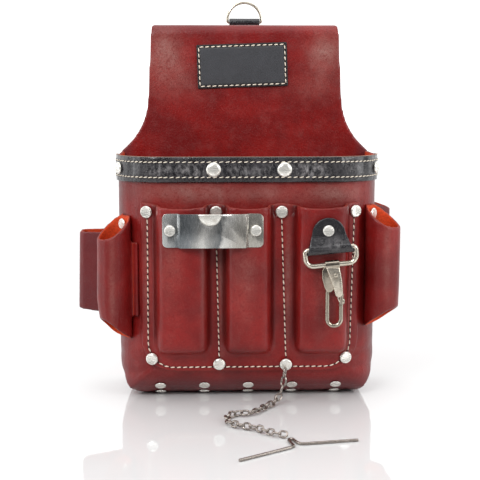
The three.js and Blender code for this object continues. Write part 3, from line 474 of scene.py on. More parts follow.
@dataclass
class Finishes:
    """Every finish on the pouch, made once."""

    oxblood: bpy.types.Material = made(OxbloodHide())
    black: bpy.types.Material = made(BlackTrim())
    label: bpy.types.Material = made(LabelCloth())
    plate: bpy.types.Material = made(BrushedPlatePaintedReflections())
    rivet: bpy.types.Material = made(
        Metal("nickel_rivet", (0.86, 0.84, 0.78), (0.46, 0.42, 0.36), 0.24, metallic=0.62)
    )
    warm: bpy.types.Material = made(
        Metal("warm_nickel", (0.66, 0.60, 0.50), (0.34, 0.28, 0.21), 0.22, metallic=0.85)
    )
    # A darker copy of the warm nickel: painted shade on the snap hook's body.
    shaded: bpy.types.Material = made(
        Metal("shade_painted_nickel", (0.42, 0.37, 0.30), (0.17, 0.135, 0.10), 0.2)
    )
    chain: bpy.types.Material = made(
        Metal("chain_steel", (0.34, 0.30, 0.27), (0.07, 0.052, 0.042), 0.27)
    )
    cream: bpy.types.Material = made(Thread("cream_thread", (0.93, 0.86, 0.74), (0.66, 0.56, 0.42)))
    hole: bpy.types.Material = made(Thread("needle_hole", (0.020, 0.006, 0.005), (0.008, 0.002, 0.002), 0.8))


# ---------------------------------------------------------------- mesh kit


def linked(name: str, mesh: bpy.types.Mesh) -> bpy.types.Object:
    """Puts a mesh in the scene as an object at the origin."""
    made = bpy.data.objects.new(name, mesh)
    bpy.context.scene.collection.objects.link(made)
    return made


def from_bmesh(name: str, bm: bmesh.types.BMesh, smooth: bool = True) -> bpy.types.Object:
    """Turns a finished bmesh into an object with outward faces.

    Args:
        name: The piece's name.
        bm: The mesh, which is freed.
        smooth: Whether its faces are shaded smooth.

    Returns:
        The new object.
    """
    bmesh.ops.recalc_face_normals(bm, faces=bm.faces)
    for face in bm.faces:
        face.smooth = smooth
    mesh = bpy.data.meshes.new(name)
    bm.to_mesh(mesh)
    bm.free()
    return linked(name, mesh)


def settle(piece: bpy.types.Object) -> bpy.types.Object:
    """Applies a piece's modifiers, or turns a curve into its mesh.

    Args:
        piece: A mesh or curve object.

    Returns:
        A mesh object of the same name without modifiers.
    """
    shown = piece.evaluated_get(bpy.context.evaluated_depsgraph_get())
    mesh = bpy.data.meshes.new_from_object(shown)
    name = piece.name
    bpy.data.objects.remove(piece)
    mesh.name = name
    return linked(name, mesh)


def merged_copy(node: str, name: str) -> bpy.types.Object:
    """Copies a node of the frame and joins its loose triangles."""
    bm = bmesh.new()
    bm.from_mesh(frame["nodes"][node].data)
    bmesh.ops.remove_doubles(bm, verts=bm.verts, dist=2e-6)
    mesh = bpy.data.meshes.new(name)
    bm.to_mesh(mesh)
    bm.free()
    return linked(name, mesh)


def points_of(mesh: bpy.types.Mesh) -> tuple[Array, Array]:
    """The places and normals of a mesh's points."""
    places = np.zeros(len(mesh.vertices) * 3, np.float32)
    mesh.vertices.foreach_get("co", places)
    normals = np.zeros(len(mesh.vertices) * 3, np.float32)
    mesh.vertex_normals.foreach_get("vector", normals)
    return places.reshape(-1, 3).astype(float), normals.reshape(-1, 3).astype(float)


def write_mask(mesh: bpy.types.Mesh, name: str, values: Array) -> None:
    """Keeps one number for each point of a mesh."""
    layer = mesh.attributes.get(name) or mesh.attributes.new(name, "FLOAT", "POINT")
    layer.data.foreach_set("value", np.clip(values, 0, 1).astype(np.float32))


def ease(values: Array, low: float, high: float) -> Array:
    """A smooth step from 0 at `low` to 1 at `high`."""
    t = np.clip((values - low) / (high - low), 0, 1)
    return t * t * (3 - 2 * t)


def ripple(places: Array, size: float, seed: int) -> Array:
    """A slow wave over space between -1 and 1 that is the same on every run."""
    draw = np.random.default_rng(seed)
    total = np.zeros(len(places))
    for _ in range(6):
        way = draw.normal(size=3)
        way *= (0.6 + draw.random()) * 2 * math.pi / (size * np.linalg.norm(way))
        total += np.sin(places @ way + draw.random() * 6.3)
    return total / 3.2


def dress(
    piece: bpy.types.Object, finish: bpy.types.Material, slot: Slot, body: Body, *nodes: str
) -> bpy.types.Object:
    """Gives a piece its finish and body.

    Args:
        piece: The finished object.
        finish: Its material.
        slot: The record's slot it stands for.
        body: The body it rides on.
        nodes: The frame's nodes it replaces.

    Returns:
        The same piece.
    """
    piece.data.materials.clear()
    piece.data.materials.append(finish)
    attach(piece, body.value)
    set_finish(piece, slot.value)
    if nodes:
        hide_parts(*nodes)
    LOG.info("%s: %d faces", piece.name, len(piece.data.polygons))
    return piece


def rounded_line(corners: Sequence[Place], radius: Sequence[float], steps: int = 8) -> list[Place]:
    """A flat line whose corners are rounded.

    Args:
        corners: The line's corners.
        radius: A radius for each corner; the ends' are not used.
        steps: Points along each rounded corner.

    Returns:
        The points of the line.
    """
    line = [tuple(corners[0])]
    for before, here, after, r in zip(corners, corners[1:], corners[2:], radius[1:]):
        p = Vector(here)
        a, b = (Vector(before) - p).normalized(), (Vector(after) - p).normalized()
        half = a.angle(b) / 2
        reach = r / math.tan(half)
        centre = p + (a + b).normalized() * (r / math.sin(half))
        start, end = p + a * reach - centre, p + b * reach - centre
        sweep = math.atan2(start.x * end.y - start.y * end.x, start.dot(end))
        for i in range(steps + 1):
            turned = Matrix.Rotation(sweep * i / steps, 2) @ start
            line.append(tuple(centre + turned))
    line.append(tuple(corners[-1]))
    return line


def smooth_route(stops: Sequence[Sequence[float]], step: float) -> list[Vector]:
    """Points a step apart along one smooth curve through all the stops.

    Args:
        stops: The places that the curve passes through.
        step: The distance between the points handed back.

    Returns:
        The evenly spaced points.
    """
    knots = [Vector(s) for s in stops]
    knots = [knots[0] * 2 - knots[1], *knots, knots[-1] * 2 - knots[-2]]
    dense: list[Vector] = []
    for p0, p1, p2, p3 in zip(knots, knots[1:], knots[2:], knots[3:]):
        bend = 2 * p0 - 5 * p1 + 4 * p2 - p3
        twist = 3 * p1 - p0 - 3 * p2 + p3
        for t in np.arange(24) / 24:
            dense.append(0.5 * (2 * p1 + (p2 - p0) * t + bend * t**2 + twist * t**3))
    dense.append(knots[-2])
    gaps = [0.0]
    for a, b in zip(dense, dense[1:]):
        gaps.append(gaps[-1] + (b - a).length)
    count = max(2, round(gaps[-1] / step) + 1)
    wanted = np.linspace(0, gaps[-1], count)
    table = np.array([tuple(p) for p in dense])
    return [Vector([float(np.interp(w, gaps, table[:, k])) for k in range(3)]) for w in wanted]


def wire(name: str, points: Sequence[Vector], radius: float, closed: bool = False) -> bpy.types.Object:
    """A round wire along a line of points.

    Args:
        name: The piece's name.
        points: The points that its middle follows.
        radius: The wire's radius.
        closed: Whether its ends meet.

    Returns:
        The mesh object.
    """
    curve = bpy.data.curves.new(name, "CURVE")
    curve.dimensions = "3D"
    spline = curve.splines.new("POLY")
    spline.points.add(len(points) - 1)
    for point, place in zip(spline.points, points):
        point.co = (*place, 1.0)
    spline.use_cyclic_u = closed
    spline.use_smooth = True
    curve.bevel_depth = radius
    curve.bevel_resolution = 5
    curve.use_fill_caps = True
    made = bpy.data.objects.new(name, curve)
    bpy.context.scene.collection.objects.link(made)
    return settle(made)


def spin_round(
    bm: bmesh.types.BMesh, geometry: Sequence[bmesh.types.BMVert | bmesh.types.BMEdge], axis: Colour, steps: int
) -> None:
    """Spins an outline once round an axis through the origin and joins its ends."""
    turn = {"cent": (0, 0, 0), "axis": axis, "angle": 2 * math.pi}
    bmesh.ops.spin(bm, geom=geometry, steps=steps, use_merge=True, **turn)


def plate(bm: bmesh.types.BMesh, outline: Sequence[Place], thick: float, soft: float, place: Matrix) -> None:
    """Adds a flat plate seen from the front, with rounded edges.

    Args:
        bm: The mesh that takes it.
        outline: Its corners as places across and up, in millimetres.
        thick: Its thickness, half of it on each side of its own middle.
        soft: The radius of its edges.
        place: Where it goes.
    """
    fresh = bmesh.new()
    face = fresh.faces.new([fresh.verts.new((x * MM, -thick / 2, z * MM)) for x, z in outline])
    lifted = bmesh.ops.extrude_face_region(fresh, geom=[face])["geom"]
    far = [v for v in lifted if isinstance(v, bmesh.types.BMVert)]
    bmesh.ops.translate(fresh, verts=far, vec=(0, thick, 0))
    bmesh.ops.recalc_face_normals(fresh, faces=fresh.faces)
    sharp = [e for e in fresh.edges if e.calc_face_angle(0.0) > math.radians(25)]
    bmesh.ops.bevel(
        fresh, geom=sharp, offset=soft, offset_type="OFFSET", affect="EDGES", segments=3, profile=0.5, material=-1,
        clamp_overlap=True,
    )
    bmesh.ops.transform(fresh, matrix=place, verts=fresh.verts)
    spare = bpy.data.meshes.new("spare")
    fresh.to_mesh(spare)
    fresh.free()
    bm.from_mesh(spare)
    bpy.data.meshes.remove(spare)


# ---------------------------------------------------------------- camera, floor and light


@dataclass
class Studio:
    """A plain pale floor that turns grey towards the front, soft light and the camera."""

    camera_place: Colour = (-0.03877, -0.94422, 0.2577)
    look_down: float = 7.782
    look_right: float = 2.0
    lens: float = 84.375
    floor_white: float = -0.33
    floor_grey: float = -0.95
    backdrop: Colour = (1.45, 1.45, 1.45)
    room_front: Colour = (0.11, 0.11, 0.115)
    room_top: Colour = (0.30, 0.30, 0.31)
    lamps: tuple[tuple[str, Colour, Colour, Place, float], ...] = (
        ("key", (-0.75, -1.2, 1.1), (0.0, 0.0, 0.16), (0.7, 0.6), 15.0),
        ("fill", (1.05, -1.0, 0.75), (0.0, 0.0, 0.14), (0.5, 0.8), 9.0),
        ("left_edge", (-0.95, -0.25, 0.35), (-0.1, 0.0, 0.12), (0.22, 0.7), 2.5),
        ("right_edge", (0.95, -0.3, 0.35), (0.1, 0.0, 0.12), (0.22, 0.7), 1.8),
        ("above", (0.0, -0.3, 1.3), (0.0, -0.1, 0.0), (1.2, 0.9), 6.0),
    )

    def place_camera(self) -> None:
        """Puts the camera in front of the pouch, a little above its middle."""
        data = bpy.data.cameras.new("studio_camera")
        data.lens = self.lens
        data.sensor_width = 36.0
        camera = bpy.data.objects.new("studio_camera", data)
        camera.location = self.camera_place
        camera.rotation_euler = (math.radians(90 - self.look_down), 0.0, math.radians(-self.look_right))
        bpy.context.scene.collection.objects.link(camera)
        bpy.context.scene.camera = camera

    def lay_floor(self) -> None:
        """Lays a pale floor with a faint polish."""
        bm = bmesh.new()
        bmesh.ops.create_grid(bm, x_segments=1, y_segments=1, size=6.0)
        floor = from_bmesh("floor", bm)
        r = Recipe("pale_floor")
        cloud = r.noise(0.4, 2.0)
        pale = r.blend(r.span(cloud, 0.3, 0.7), (0.66, 0.66, 0.66), (0.68, 0.68, 0.68))
        near = r.span(r.axis("Y"), self.floor_grey, self.floor_white)
        r.set("Base Color", r.blend(near, (0.09, 0.09, 0.09), pale))
        r.set("Roughness", 0.035)
        r.set("Specular IOR Level", 0.8)
        floor.data.materials.append(r.material)

    def hang(self, name: str, place: Colour, target: Colour, size: Place, power: float) -> None:
        """Hangs one soft panel light.

        Args:
            name: The lamp's name.
            place: Where it hangs.
            target: The point it faces.
            size: Its width and height.
            power: Its strength in watts.
        """
        data = bpy.data.lights.new(name, "AREA")
        data.shape = "RECTANGLE"
        data.size, data.size_y = size
        data.energy = power
        made = bpy.data.objects.new(name, data)
        made.location = place
        made.rotation_euler = (Vector(target) - Vector(place)).to_track_quat("-Z", "Y").to_euler()
        bpy.context.scene.collection.objects.link(made)

    def light(self) -> None:
        """Lights the pouch from the front and both sides, against a bright backdrop."""
        world = bpy.data.worlds.new("studio")
        bpy.context.scene.world = world
        r = Recipe("studio", world)
        room = r.blend(r.span(r.axis("Z"), 0.1, 0.8), self.room_front, self.room_top)
        r.set("Color", r.blend(r.span(r.axis("Y"), -0.1, 0.35), room, self.backdrop))
        for lamp in self.lamps:
            self.hang(*lamp)
        bpy.context.scene.view_settings.view_transform = "Standard"

    def build(self) -> None:
        """Sets up the whole studio."""
        self.place_camera()
        self.lay_floor()
        self.light()


# ---------------------------------------------------------------- tape chain


@dataclass
class TapeChain:
    """The twisted-link chain and the bent bar that goes through a roll of tape."""

    wire_radius: float = 0.82 * MM
    first_links: int = 3
    large: tuple[float, float, float] = (9.6 * MM, 7.2 * MM, 7.1 * MM)
    small: tuple[float, float, float] = (8.0 * MM, 6.2 * MM, 5.6 * MM)
    bar_radius: float = 1.1 * MM
    route: tuple[tuple[float, float, float], ...] = (
        (29.0, -50.4, 26.4), (28.4, -50.8, 20.4), (26.6, -51.4, 12.6), (23.4, -54.0, 5.8),
        (18.6, -60.0, 3.2), (12.6, -68.4, 3.0), (6.0, -78.0, 3.0), (-0.6, -85.4, 3.0), (-8.4, -86.4, 3.0),
        (-15.6, -90.0, 3.0), (-19.0, -98.4, 3.0), (-18.0, -108.2, 3.0), (-12.6, -116.4, 3.0), (-4.6, -121.4, 3.0),
        (3.4, -126.4, 3.0), (9.6, -133.4, 3.0), (16.4, -139.0, 3.0), (22.6, -142.6, 3.0),
    )
    bar_line: tuple[Place, ...] = (
        (-13.0, -194.0), (24.6, -167.2), (27.4, -164.0), (26.6, -160.4), (24.6, -150.6), (25.4, -147.4),
        (27.8, -148.2), (30.4, -156.0), (32.6, -158.6), (36.0, -158.8), (75.4, -151.6),
    )

    def link(self, bm: bmesh.types.BMesh, place: Matrix, length: float, width: float) -> None:
        """Adds one oval link lying along its own X.

        Args:
            bm: The mesh that takes the link.
            place: Where the link goes.
            length: Its length over all.
            width: Its width over all.
        """
        ring = width / 2 - self.wire_radius
        turn = Matrix.Translation((0, ring, 0)) @ Matrix.Rotation(math.pi / 2, 4, "Y")
        before = set(bm.verts)
        start = bmesh.ops.create_circle(bm, segments=8, radius=self.wire_radius, matrix=turn)
        edges = list({e for v in start["verts"] for e in v.link_edges})
        spin_round(bm, start["verts"] + edges, (0, 0, 1), 20)
        made = [v for v in bm.verts if v not in before]
        for v in made:
            v.co.x += math.copysign((length - width) / 2, v.co.x) if abs(v.co.x) > 1e-6 else 0.0
        bmesh.ops.transform(bm, matrix=place, verts=made)

    def places(self, route: list[Vector]) -> list[tuple[Vector, Vector, tuple[float, float, float]]]:
        """The middle, direction and size of every link along the route.

        Args:
            route: Closely spaced points of the route.

        Returns:
            One entry for each link.
        """
        gaps = [0.0]
        for a, b in zip(route, route[1:]):
            gaps.append(gaps[-1] + (b - a).length)
        found = []
        at, count = 0.0, 0
        while at <= gaps[-1]:
            i = min(len(route) - 2, max(1, int(np.searchsorted(gaps, at))))
            size = self.large if count < self.first_links else self.small
            found.append((route[i], (route[i + 1] - route[i - 1]).normalized(), size))
            at += size[2]
            count += 1
        return found

    def build(self, finishes: Finishes) -> None:
        path = smooth_route([[c * MM for c in stop] for stop in self.route], 0.5 * MM)
        bm = bmesh.new()
        for i, (here, along, (length, width, _)) in enumerate(self.places(path)):
            roll = math.radians((58.0, -34.0)[i % 2] + 14.0 * math.sin(i * 2.3))
            turn = along.to_track_quat("X", "Z").to_matrix().to_4x4() @ Matrix.Rotation(roll, 4, "X")
            self.link(bm, Matrix.Translation(here) @ turn, length, width)
        chain = from_bmesh("tape_chain_links", bm)
        dress(chain, finishes.chain, Slot.CHAIN, Body.POUCH, "tape_chain")
        low = self.bar_radius + 0.1 * MM
        bends = [(x * MM, y * MM) for x, y in self.bar_line]
        line = rounded_line(bends, [0.9 * MM] * len(bends), 4)
        t_bar = wire("tape_bar", [Vector((x, y, low)) for x, y in line], self.bar_radius)
        dress(t_bar, finishes.chain, Slot.CHAIN, Body.POUCH, "tape_t_bar")
        length = sum((b - a).length for a, b in zip(path, path[1:]))
        LOG.info("tape chain: %.1f mm long", length / MM)


# ---------------------------------------------------------------- leather


Shaper = Callable[[Array, Array], Array]
Masker = Callable[[Array, Array], dict[str, Array]]


@dataclass
class Hide:
    """One piece of leather: the frame's solid with soft edges, small waves and masks for its finish."""

    node: str
    voxel: float
    finish: bpy.types.Material
    slot: Slot
    masks: Masker
    shape: Shaper | None = None
    smoothing: int = 4
    wave: float = 0.35 * MM
    wave_size: float = 60 * MM
    moulded: Callable[[Array], Array] | None = None
    mould_rounds: int = 150

    def build(self) -> bpy.types.Object:
        """Makes the piece.

        Returns:
            The leather piece, riding on the pouch.
        """
        piece = merged_copy(self.node, self.node + "_leather")
        remesh = piece.modifiers.new("even", "REMESH")
        remesh.mode = "VOXEL"
        remesh.voxel_size = self.voxel
        remesh.use_smooth_shade = True
        soften = piece.modifiers.new("soften", "SMOOTH")
        soften.factor = 0.5
        soften.iterations = self.smoothing
        piece = settle(piece)
        if self.moulded is not None:
            piece = self.relax(piece)
        places, normals = points_of(piece.data)
        masks = self.masks(places, normals)
        moved = places.copy()
        sway = ripple(places, self.wave_size, len(self.node)) * self.wave
        moved[:, 1] += sway
        if self.shape is not None:
            moved = self.shape(moved, normals)
        piece.data.vertices.foreach_set("co", moved.astype(np.float32).ravel())
        # Painted highlights only on faces that turn to the front; painted purple shade on the sides and foot.
        outward = ease(-normals[:, 1], 0.0, 0.5)
        masks |= {"sheen": masks.get("polish", sheen(places)) * outward, "cool": cool(places)}
        for name in ("flesh", "edge", "recess", "sheen", "cool"):
            write_mask(piece.data, name, masks.get(name, np.zeros(len(places))))
        piece.data.update()
        return dress(piece, self.finish, self.slot, Body.POUCH, self.node)

    def relax(self, piece: bpy.types.Object) -> bpy.types.Object:
        """Softens the moulded parts of the piece much more than its edges.

        Args:
            piece: The piece so far.

        Returns:
            The softened piece.
        """
        places, _ = points_of(piece.data)
        chosen = np.flatnonzero(self.moulded(places))
        group = piece.vertex_groups.new(name="moulded")
        group.add(chosen.tolist(), 1.0, "REPLACE")
        soften = piece.modifiers.new("mould", "SMOOTH")
        soften.factor = 0.5
        soften.iterations = self.mould_rounds
        soften.vertex_group = "moulded"
        return settle(piece)


def glow(places: Array, x: float, z: float, wide: float, high: float) -> Array:
    """A soft oval spot seen from the front, in millimetres."""
    return np.exp(-(((places[:, 0] / MM - x) / wide) ** 2) - ((places[:, 2] / MM - z) / high) ** 2)


# Painted highlights on the oxblood hide, as spots and narrow streaks of sheen.
PAINTED_HIGHLIGHTS: tuple[tuple[float, ...], ...] = (  # across, up, half width, half height in millimetres, strength
    (-70, 287, 15, 17, 0.85), (70, 287, 15, 17, 0.8), (-62, 262, 26, 14, 0.35), (60, 258, 26, 12, 0.25),
    (-50, 173, 34, 8, 0.75), (10, 172, 34, 7, 0.5), (72, 173, 24, 8, 0.75), (-62, 118, 8, 30, 0.3),
    (-4, 105, 11, 34, 0.26), (62, 100, 12, 34, 0.22), (-22.5, 100, 2.2, 60, 0.5), (31.5, 100, 2.2, 60, 0.5),
    (-83, 120, 2.6, 60, 0.3), (-37.0, 105, 1.6, 45, 0.25), (80.5, 70, 2.0, 26, 0.5), (76, 42, 14, 1.6, 0.3),
    (-110, 105, 3.0, 45, 0.4), (112, 120, 3.5, 40, 0.42),
)


def sheen(places: Array) -> Array:
    """Painted highlights: soft spots and narrow streaks of sheen on the hide."""
    total = sum(power * glow(places, x, z, wide, high) for x, z, wide, high, power in PAINTED_HIGHLIGHTS)
    return np.clip(total * (1 + 0.25 * ripple(places, 24 * MM, 5)), 0, 1)


def cool(places: Array) -> Array:
    """Painted purple shade where the hide turns away: its sides and its foot."""
    side = ease(np.abs(places[:, 0]), 93 * MM, 106 * MM) * ease(places[:, 1], -34 * MM, -10 * MM)
    foot = ease(-places[:, 2], -24 * MM, -12 * MM)
    return np.maximum(side * 0.8, foot * 0.75)


def seam_places(row: str) -> list[float]:
    """Where the panel's four upright seams stand across it, from their rivets."""
    boxes = [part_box(f"pocket_rivet_{row}_{i}") for i in (1, 2, 3, 4)]
    return [(lo.x + hi.x) / 2 for lo, hi in boxes]


@dataclass
class PouchBody:
    """The back panel, front shell, base insert, pocket panel and rim band."""

    finishes: Finishes
    pocket_middles: tuple[float, float, float] = (-54.3 * MM, -0.8 * MM, 58.8 * MM)
    pocket_halves: tuple[float, float, float] = (19.0 * MM, 16.75 * MM, 19.25 * MM)
    flange: float = -44.9 * MM
    fold: Place = (298 * MM, 302 * MM)
    tunnel: Place = (47.5 * MM, 300 * MM)
    loose_hide: float = 4.2 * MM
    pleats: float = 6.0
    pleat_depth: float = 0.9 * MM
    crown: float = 0.5 * MM
    seam_pinch: float = 0.45 * MM

    def facing_in(self, places: Array, normals: Array) -> Array:
        """How far each point of the shell faces the inside of the pouch."""
        middle = np.column_stack([
            np.clip(places[:, 0], -60 * MM, 60 * MM),
            np.clip(places[:, 1], 0.0, 1.0),
            np.clip(places[:, 2], 45 * MM, 1.0),
        ])
        inward = middle - places
        inward /= np.linalg.norm(inward, axis=1)[:, None] + 1e-9
        return (normals * inward).sum(1)

    def shell_masks(self, places: Array, normals: Array) -> dict[str, Array]:
        """Flesh inside, raw edge round the rim."""
        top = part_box("front_shell")[1].z
        return {
            "flesh": ease(self.facing_in(places, normals), 0.0, 0.4),
            "edge": ease(normals[:, 2], 0.55, 0.85) * ease(places[:, 2], top - 4 * MM, top - 2 * MM),
        }

    def shell_shape(self, places: Array, normals: Array) -> Array:
        """Lets the foot of the shell sag into soft pleats at its corners."""
        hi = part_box("front_shell")[1]
        outer = 1 - ease(self.facing_in(places, normals), -0.3, 0.3)
        corner = ease(np.abs(places[:, 0]), hi.x - 45 * MM, hi.x - 12 * MM) * ease(-places[:, 2], -60 * MM, -14 * MM)
        angle = np.arctan2(places[:, 2] - 30 * MM, np.abs(places[:, 0]) - hi.x + 34 * MM)
        pleat = (np.abs(np.sin(angle * self.pleats + np.sign(places[:, 0]))) - 0.6) * self.pleat_depth
        places = places + normals * (corner * outer * pleat)[:, None]
        places[:, 2] = np.maximum(places[:, 2], 0.0)
        return places

    def back_masks(self, places: Array, normals: Array) -> dict[str, Array]:
        """Flesh behind the panel and inside the fold, raw edges round the outline."""
        panel = places[:, 1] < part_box("back_panel")[0].y + self.loose_hide
        behind = np.where(panel, normals[:, 1], -normals[:, 1])
        side = np.sqrt(np.clip(1 - normals[:, 1] ** 2, 0, 1))
        fold = ease(places[:, 2], *self.fold)
        depth, height = self.tunnel
        outward = normals[:, 2] * (places[:, 2] - height) + normals[:, 1] * (places[:, 1] - depth)
        inner = ease(-outward, 0.0, 2 * MM)
        flesh = ease(behind, 0.2, 0.6) * (1 - fold) * 0.5 + fold * inner
        return {"flesh": flesh, "edge": ease(np.abs(normals[:, 0]), 0.6, 0.85) * ease(side, 0.6, 0.9)}

    def nearest_pocket(self, places: Array) -> tuple[Array, Array]:
        """How far each point is from its pocket's middle, and that pocket's half width."""
        middles, halves = np.array(self.pocket_middles), np.array(self.pocket_halves)
        excess = np.abs(places[:, :1] - middles) - halves
        nearest = excess.argmin(1)
        return places[:, 0] - middles[nearest], halves[nearest]

    def raised(self, places: Array) -> Array:
        """The moulded parts of the panel, away from its mouth and its foot."""
        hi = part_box("pocket_panel")[1]
        forward = places[:, 1] < self.flange + 1.2 * MM
        return forward & (places[:, 2] < hi.z - 9 * MM) & (np.abs(places[:, 0]) < 84 * MM)

    def panel_masks(self, places: Array, normals: Array) -> dict[str, Array]:
        """Flesh inside the pockets, raw edges round the outline, painted shade in the valleys."""
        lo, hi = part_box("pocket_panel")
        away, half = self.nearest_pocket(places)
        inward = normals[:, 1] - normals[:, 0] * np.sign(away) * ease(np.abs(away) / half, 0.3, 0.9)
        lifted = ease(-places[:, 1], 46.5 * MM, 48 * MM)
        flesh = ease(inward, 0.2, 0.5) * lifted + ease(normals[:, 1], 0.1, 0.4) * (1 - lifted)
        rim = np.maximum(
            ease(normals[:, 2], 0.6, 0.85) * ease(places[:, 2], hi.z - 9 * MM, hi.z - 6 * MM),
            ease(-normals[:, 2], 0.6, 0.85) * ease(-places[:, 2], -lo.z - 3.5 * MM, -lo.z - 2 * MM),
        )
        wall = ease(-np.abs(np.abs(away) - half - 2.6 * MM), -4.2 * MM, -0.6 * MM)
        depth = ease(places[:, 1], -57 * MM, -46 * MM) * ease(-places[:, 1], 42 * MM, 44 * MM)
        upper = ease(places[:, 2], 42 * MM, 60 * MM)
        return {"flesh": flesh, "edge": rim * 0.8, "recess": wall * depth * upper * 0.85}

    def panel_shape(self, places: Array, normals: Array) -> Array:
        """Crowns each pocket's face and pinches the leather along its seams."""
        lo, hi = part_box("pocket_panel")
        away, half = self.nearest_pocket(places)
        lifted = ease(-places[:, 1], 50 * MM, 58 * MM)
        up = np.clip((places[:, 2] - 45 * MM) / (hi.z - 45 * MM), 0, 1)
        crown = (1 - np.clip(np.abs(away) / half, 0, 1) ** 2) * np.sin(math.pi * np.clip(up, 0.04, 0.9)) * self.crown
        places[:, 1] -= lifted * crown
        t = np.clip((places[:, 2] - lo.z) / (hi.z - lo.z), 0, 1)
        for top, foot in zip(seam_places("top"), seam_places("foot")):
            near = np.abs(places[:, 0] - (foot + (top - foot) * t))
            pinch = ease(-near, -2.6 * MM, -0.4 * MM) * ease(-normals[:, 1], 0.3, 0.7)
            places[:, 1] += pinch * self.seam_pinch * (1 - lifted)
        return places

    def band_masks(self, places: Array, normals: Array) -> dict[str, Array]:
        """A raw tan line along the band's upper edge and painted highlight patches on its face."""
        spots = ((-72, 10, 0.7), (-47, 12, 0.9), (-8, 14, 0.6), (14, 9, 0.45), (49, 16, 0.9), (86, 8, 0.5))
        polish = sum(power * glow(places, x, 191, wide, 5.5) for x, wide, power in spots)
        return {"edge": ease(normals[:, 2], 0.75, 0.95) * 0.85, "polish": polish}

    def band_shape(self, places: Array, normals: Array) -> Array:
        """Crowns the band, thins it round the sides, drops its ends and lets the right one stand off."""
        lo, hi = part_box("rim_band")
        side = ease(np.abs(places[:, 0]), 96 * MM, 106 * MM)
        rear = ease(places[:, 1], 2 * MM, hi.y)
        low = ease(-places[:, 2], -hi.z, -lo.z)
        level = np.abs(places[:, 2] - (lo.z + hi.z) / 2) / (10.5 * MM)
        swell = (1 - np.clip(level, 0, 1) ** 2) * 0.5 * MM
        outward = ease(np.abs(normals[:, 0]), 0.3, 0.8) * ease(normals[:, 0] * np.sign(places[:, 0]), 0.0, 0.5)
        places = places + normals * (swell * np.clip(1 - np.abs(normals[:, 2]), 0, 1))[:, None]
        places[:, 0] -= np.sign(places[:, 0]) * side * outward * 1.1 * MM
        places[:, 0] += ease(places[:, 0], 96 * MM, 106 * MM) * rear * (0.2 + 2.4 * low) * MM
        places[:, 2] -= side * rear * (1 - low) * 2.6 * MM
        crease = np.sin(places[:, 0] / MM * 1.7 + np.sin(places[:, 2] / MM * 0.6) * 1.4)
        rough = np.maximum(glow(places, -47, 191, 12, 30), glow(places, 52, 191, 18, 30))
        return places + normals * (crease * rough * 0.16 * MM)[:, None]

    def build(self) -> dict[str, bpy.types.Object]:
        """Makes the five large pieces.

        Returns:
            The pieces by name.
        """
        hide, trim = self.finishes.oxblood, self.finishes.black
        made = {
            "back": Hide("back_panel", 1.45 * MM, hide, Slot.OXBLOOD, self.back_masks, wave=0.6 * MM),
            "shell": Hide("front_shell", 1.55 * MM, hide, Slot.OXBLOOD, self.shell_masks, self.shell_shape),
            "base": Hide("base_insert", 1.5 * MM, hide, Slot.OXBLOOD, self.shell_masks, wave=0.0),
            "panel": Hide(
                "pocket_panel", 1.0 * MM, hide, Slot.OXBLOOD, self.panel_masks, self.panel_shape, wave=0.25 * MM,
                moulded=self.raised,
            ),
            "band": Hide(
                "rim_band", 0.8 * MM, trim, Slot.BLACK, self.band_masks, self.band_shape, smoothing=3,
                wave=0.3 * MM, wave_size=25 * MM,
            ),
        }
        return {name: item.build() for name, item in made.items()}


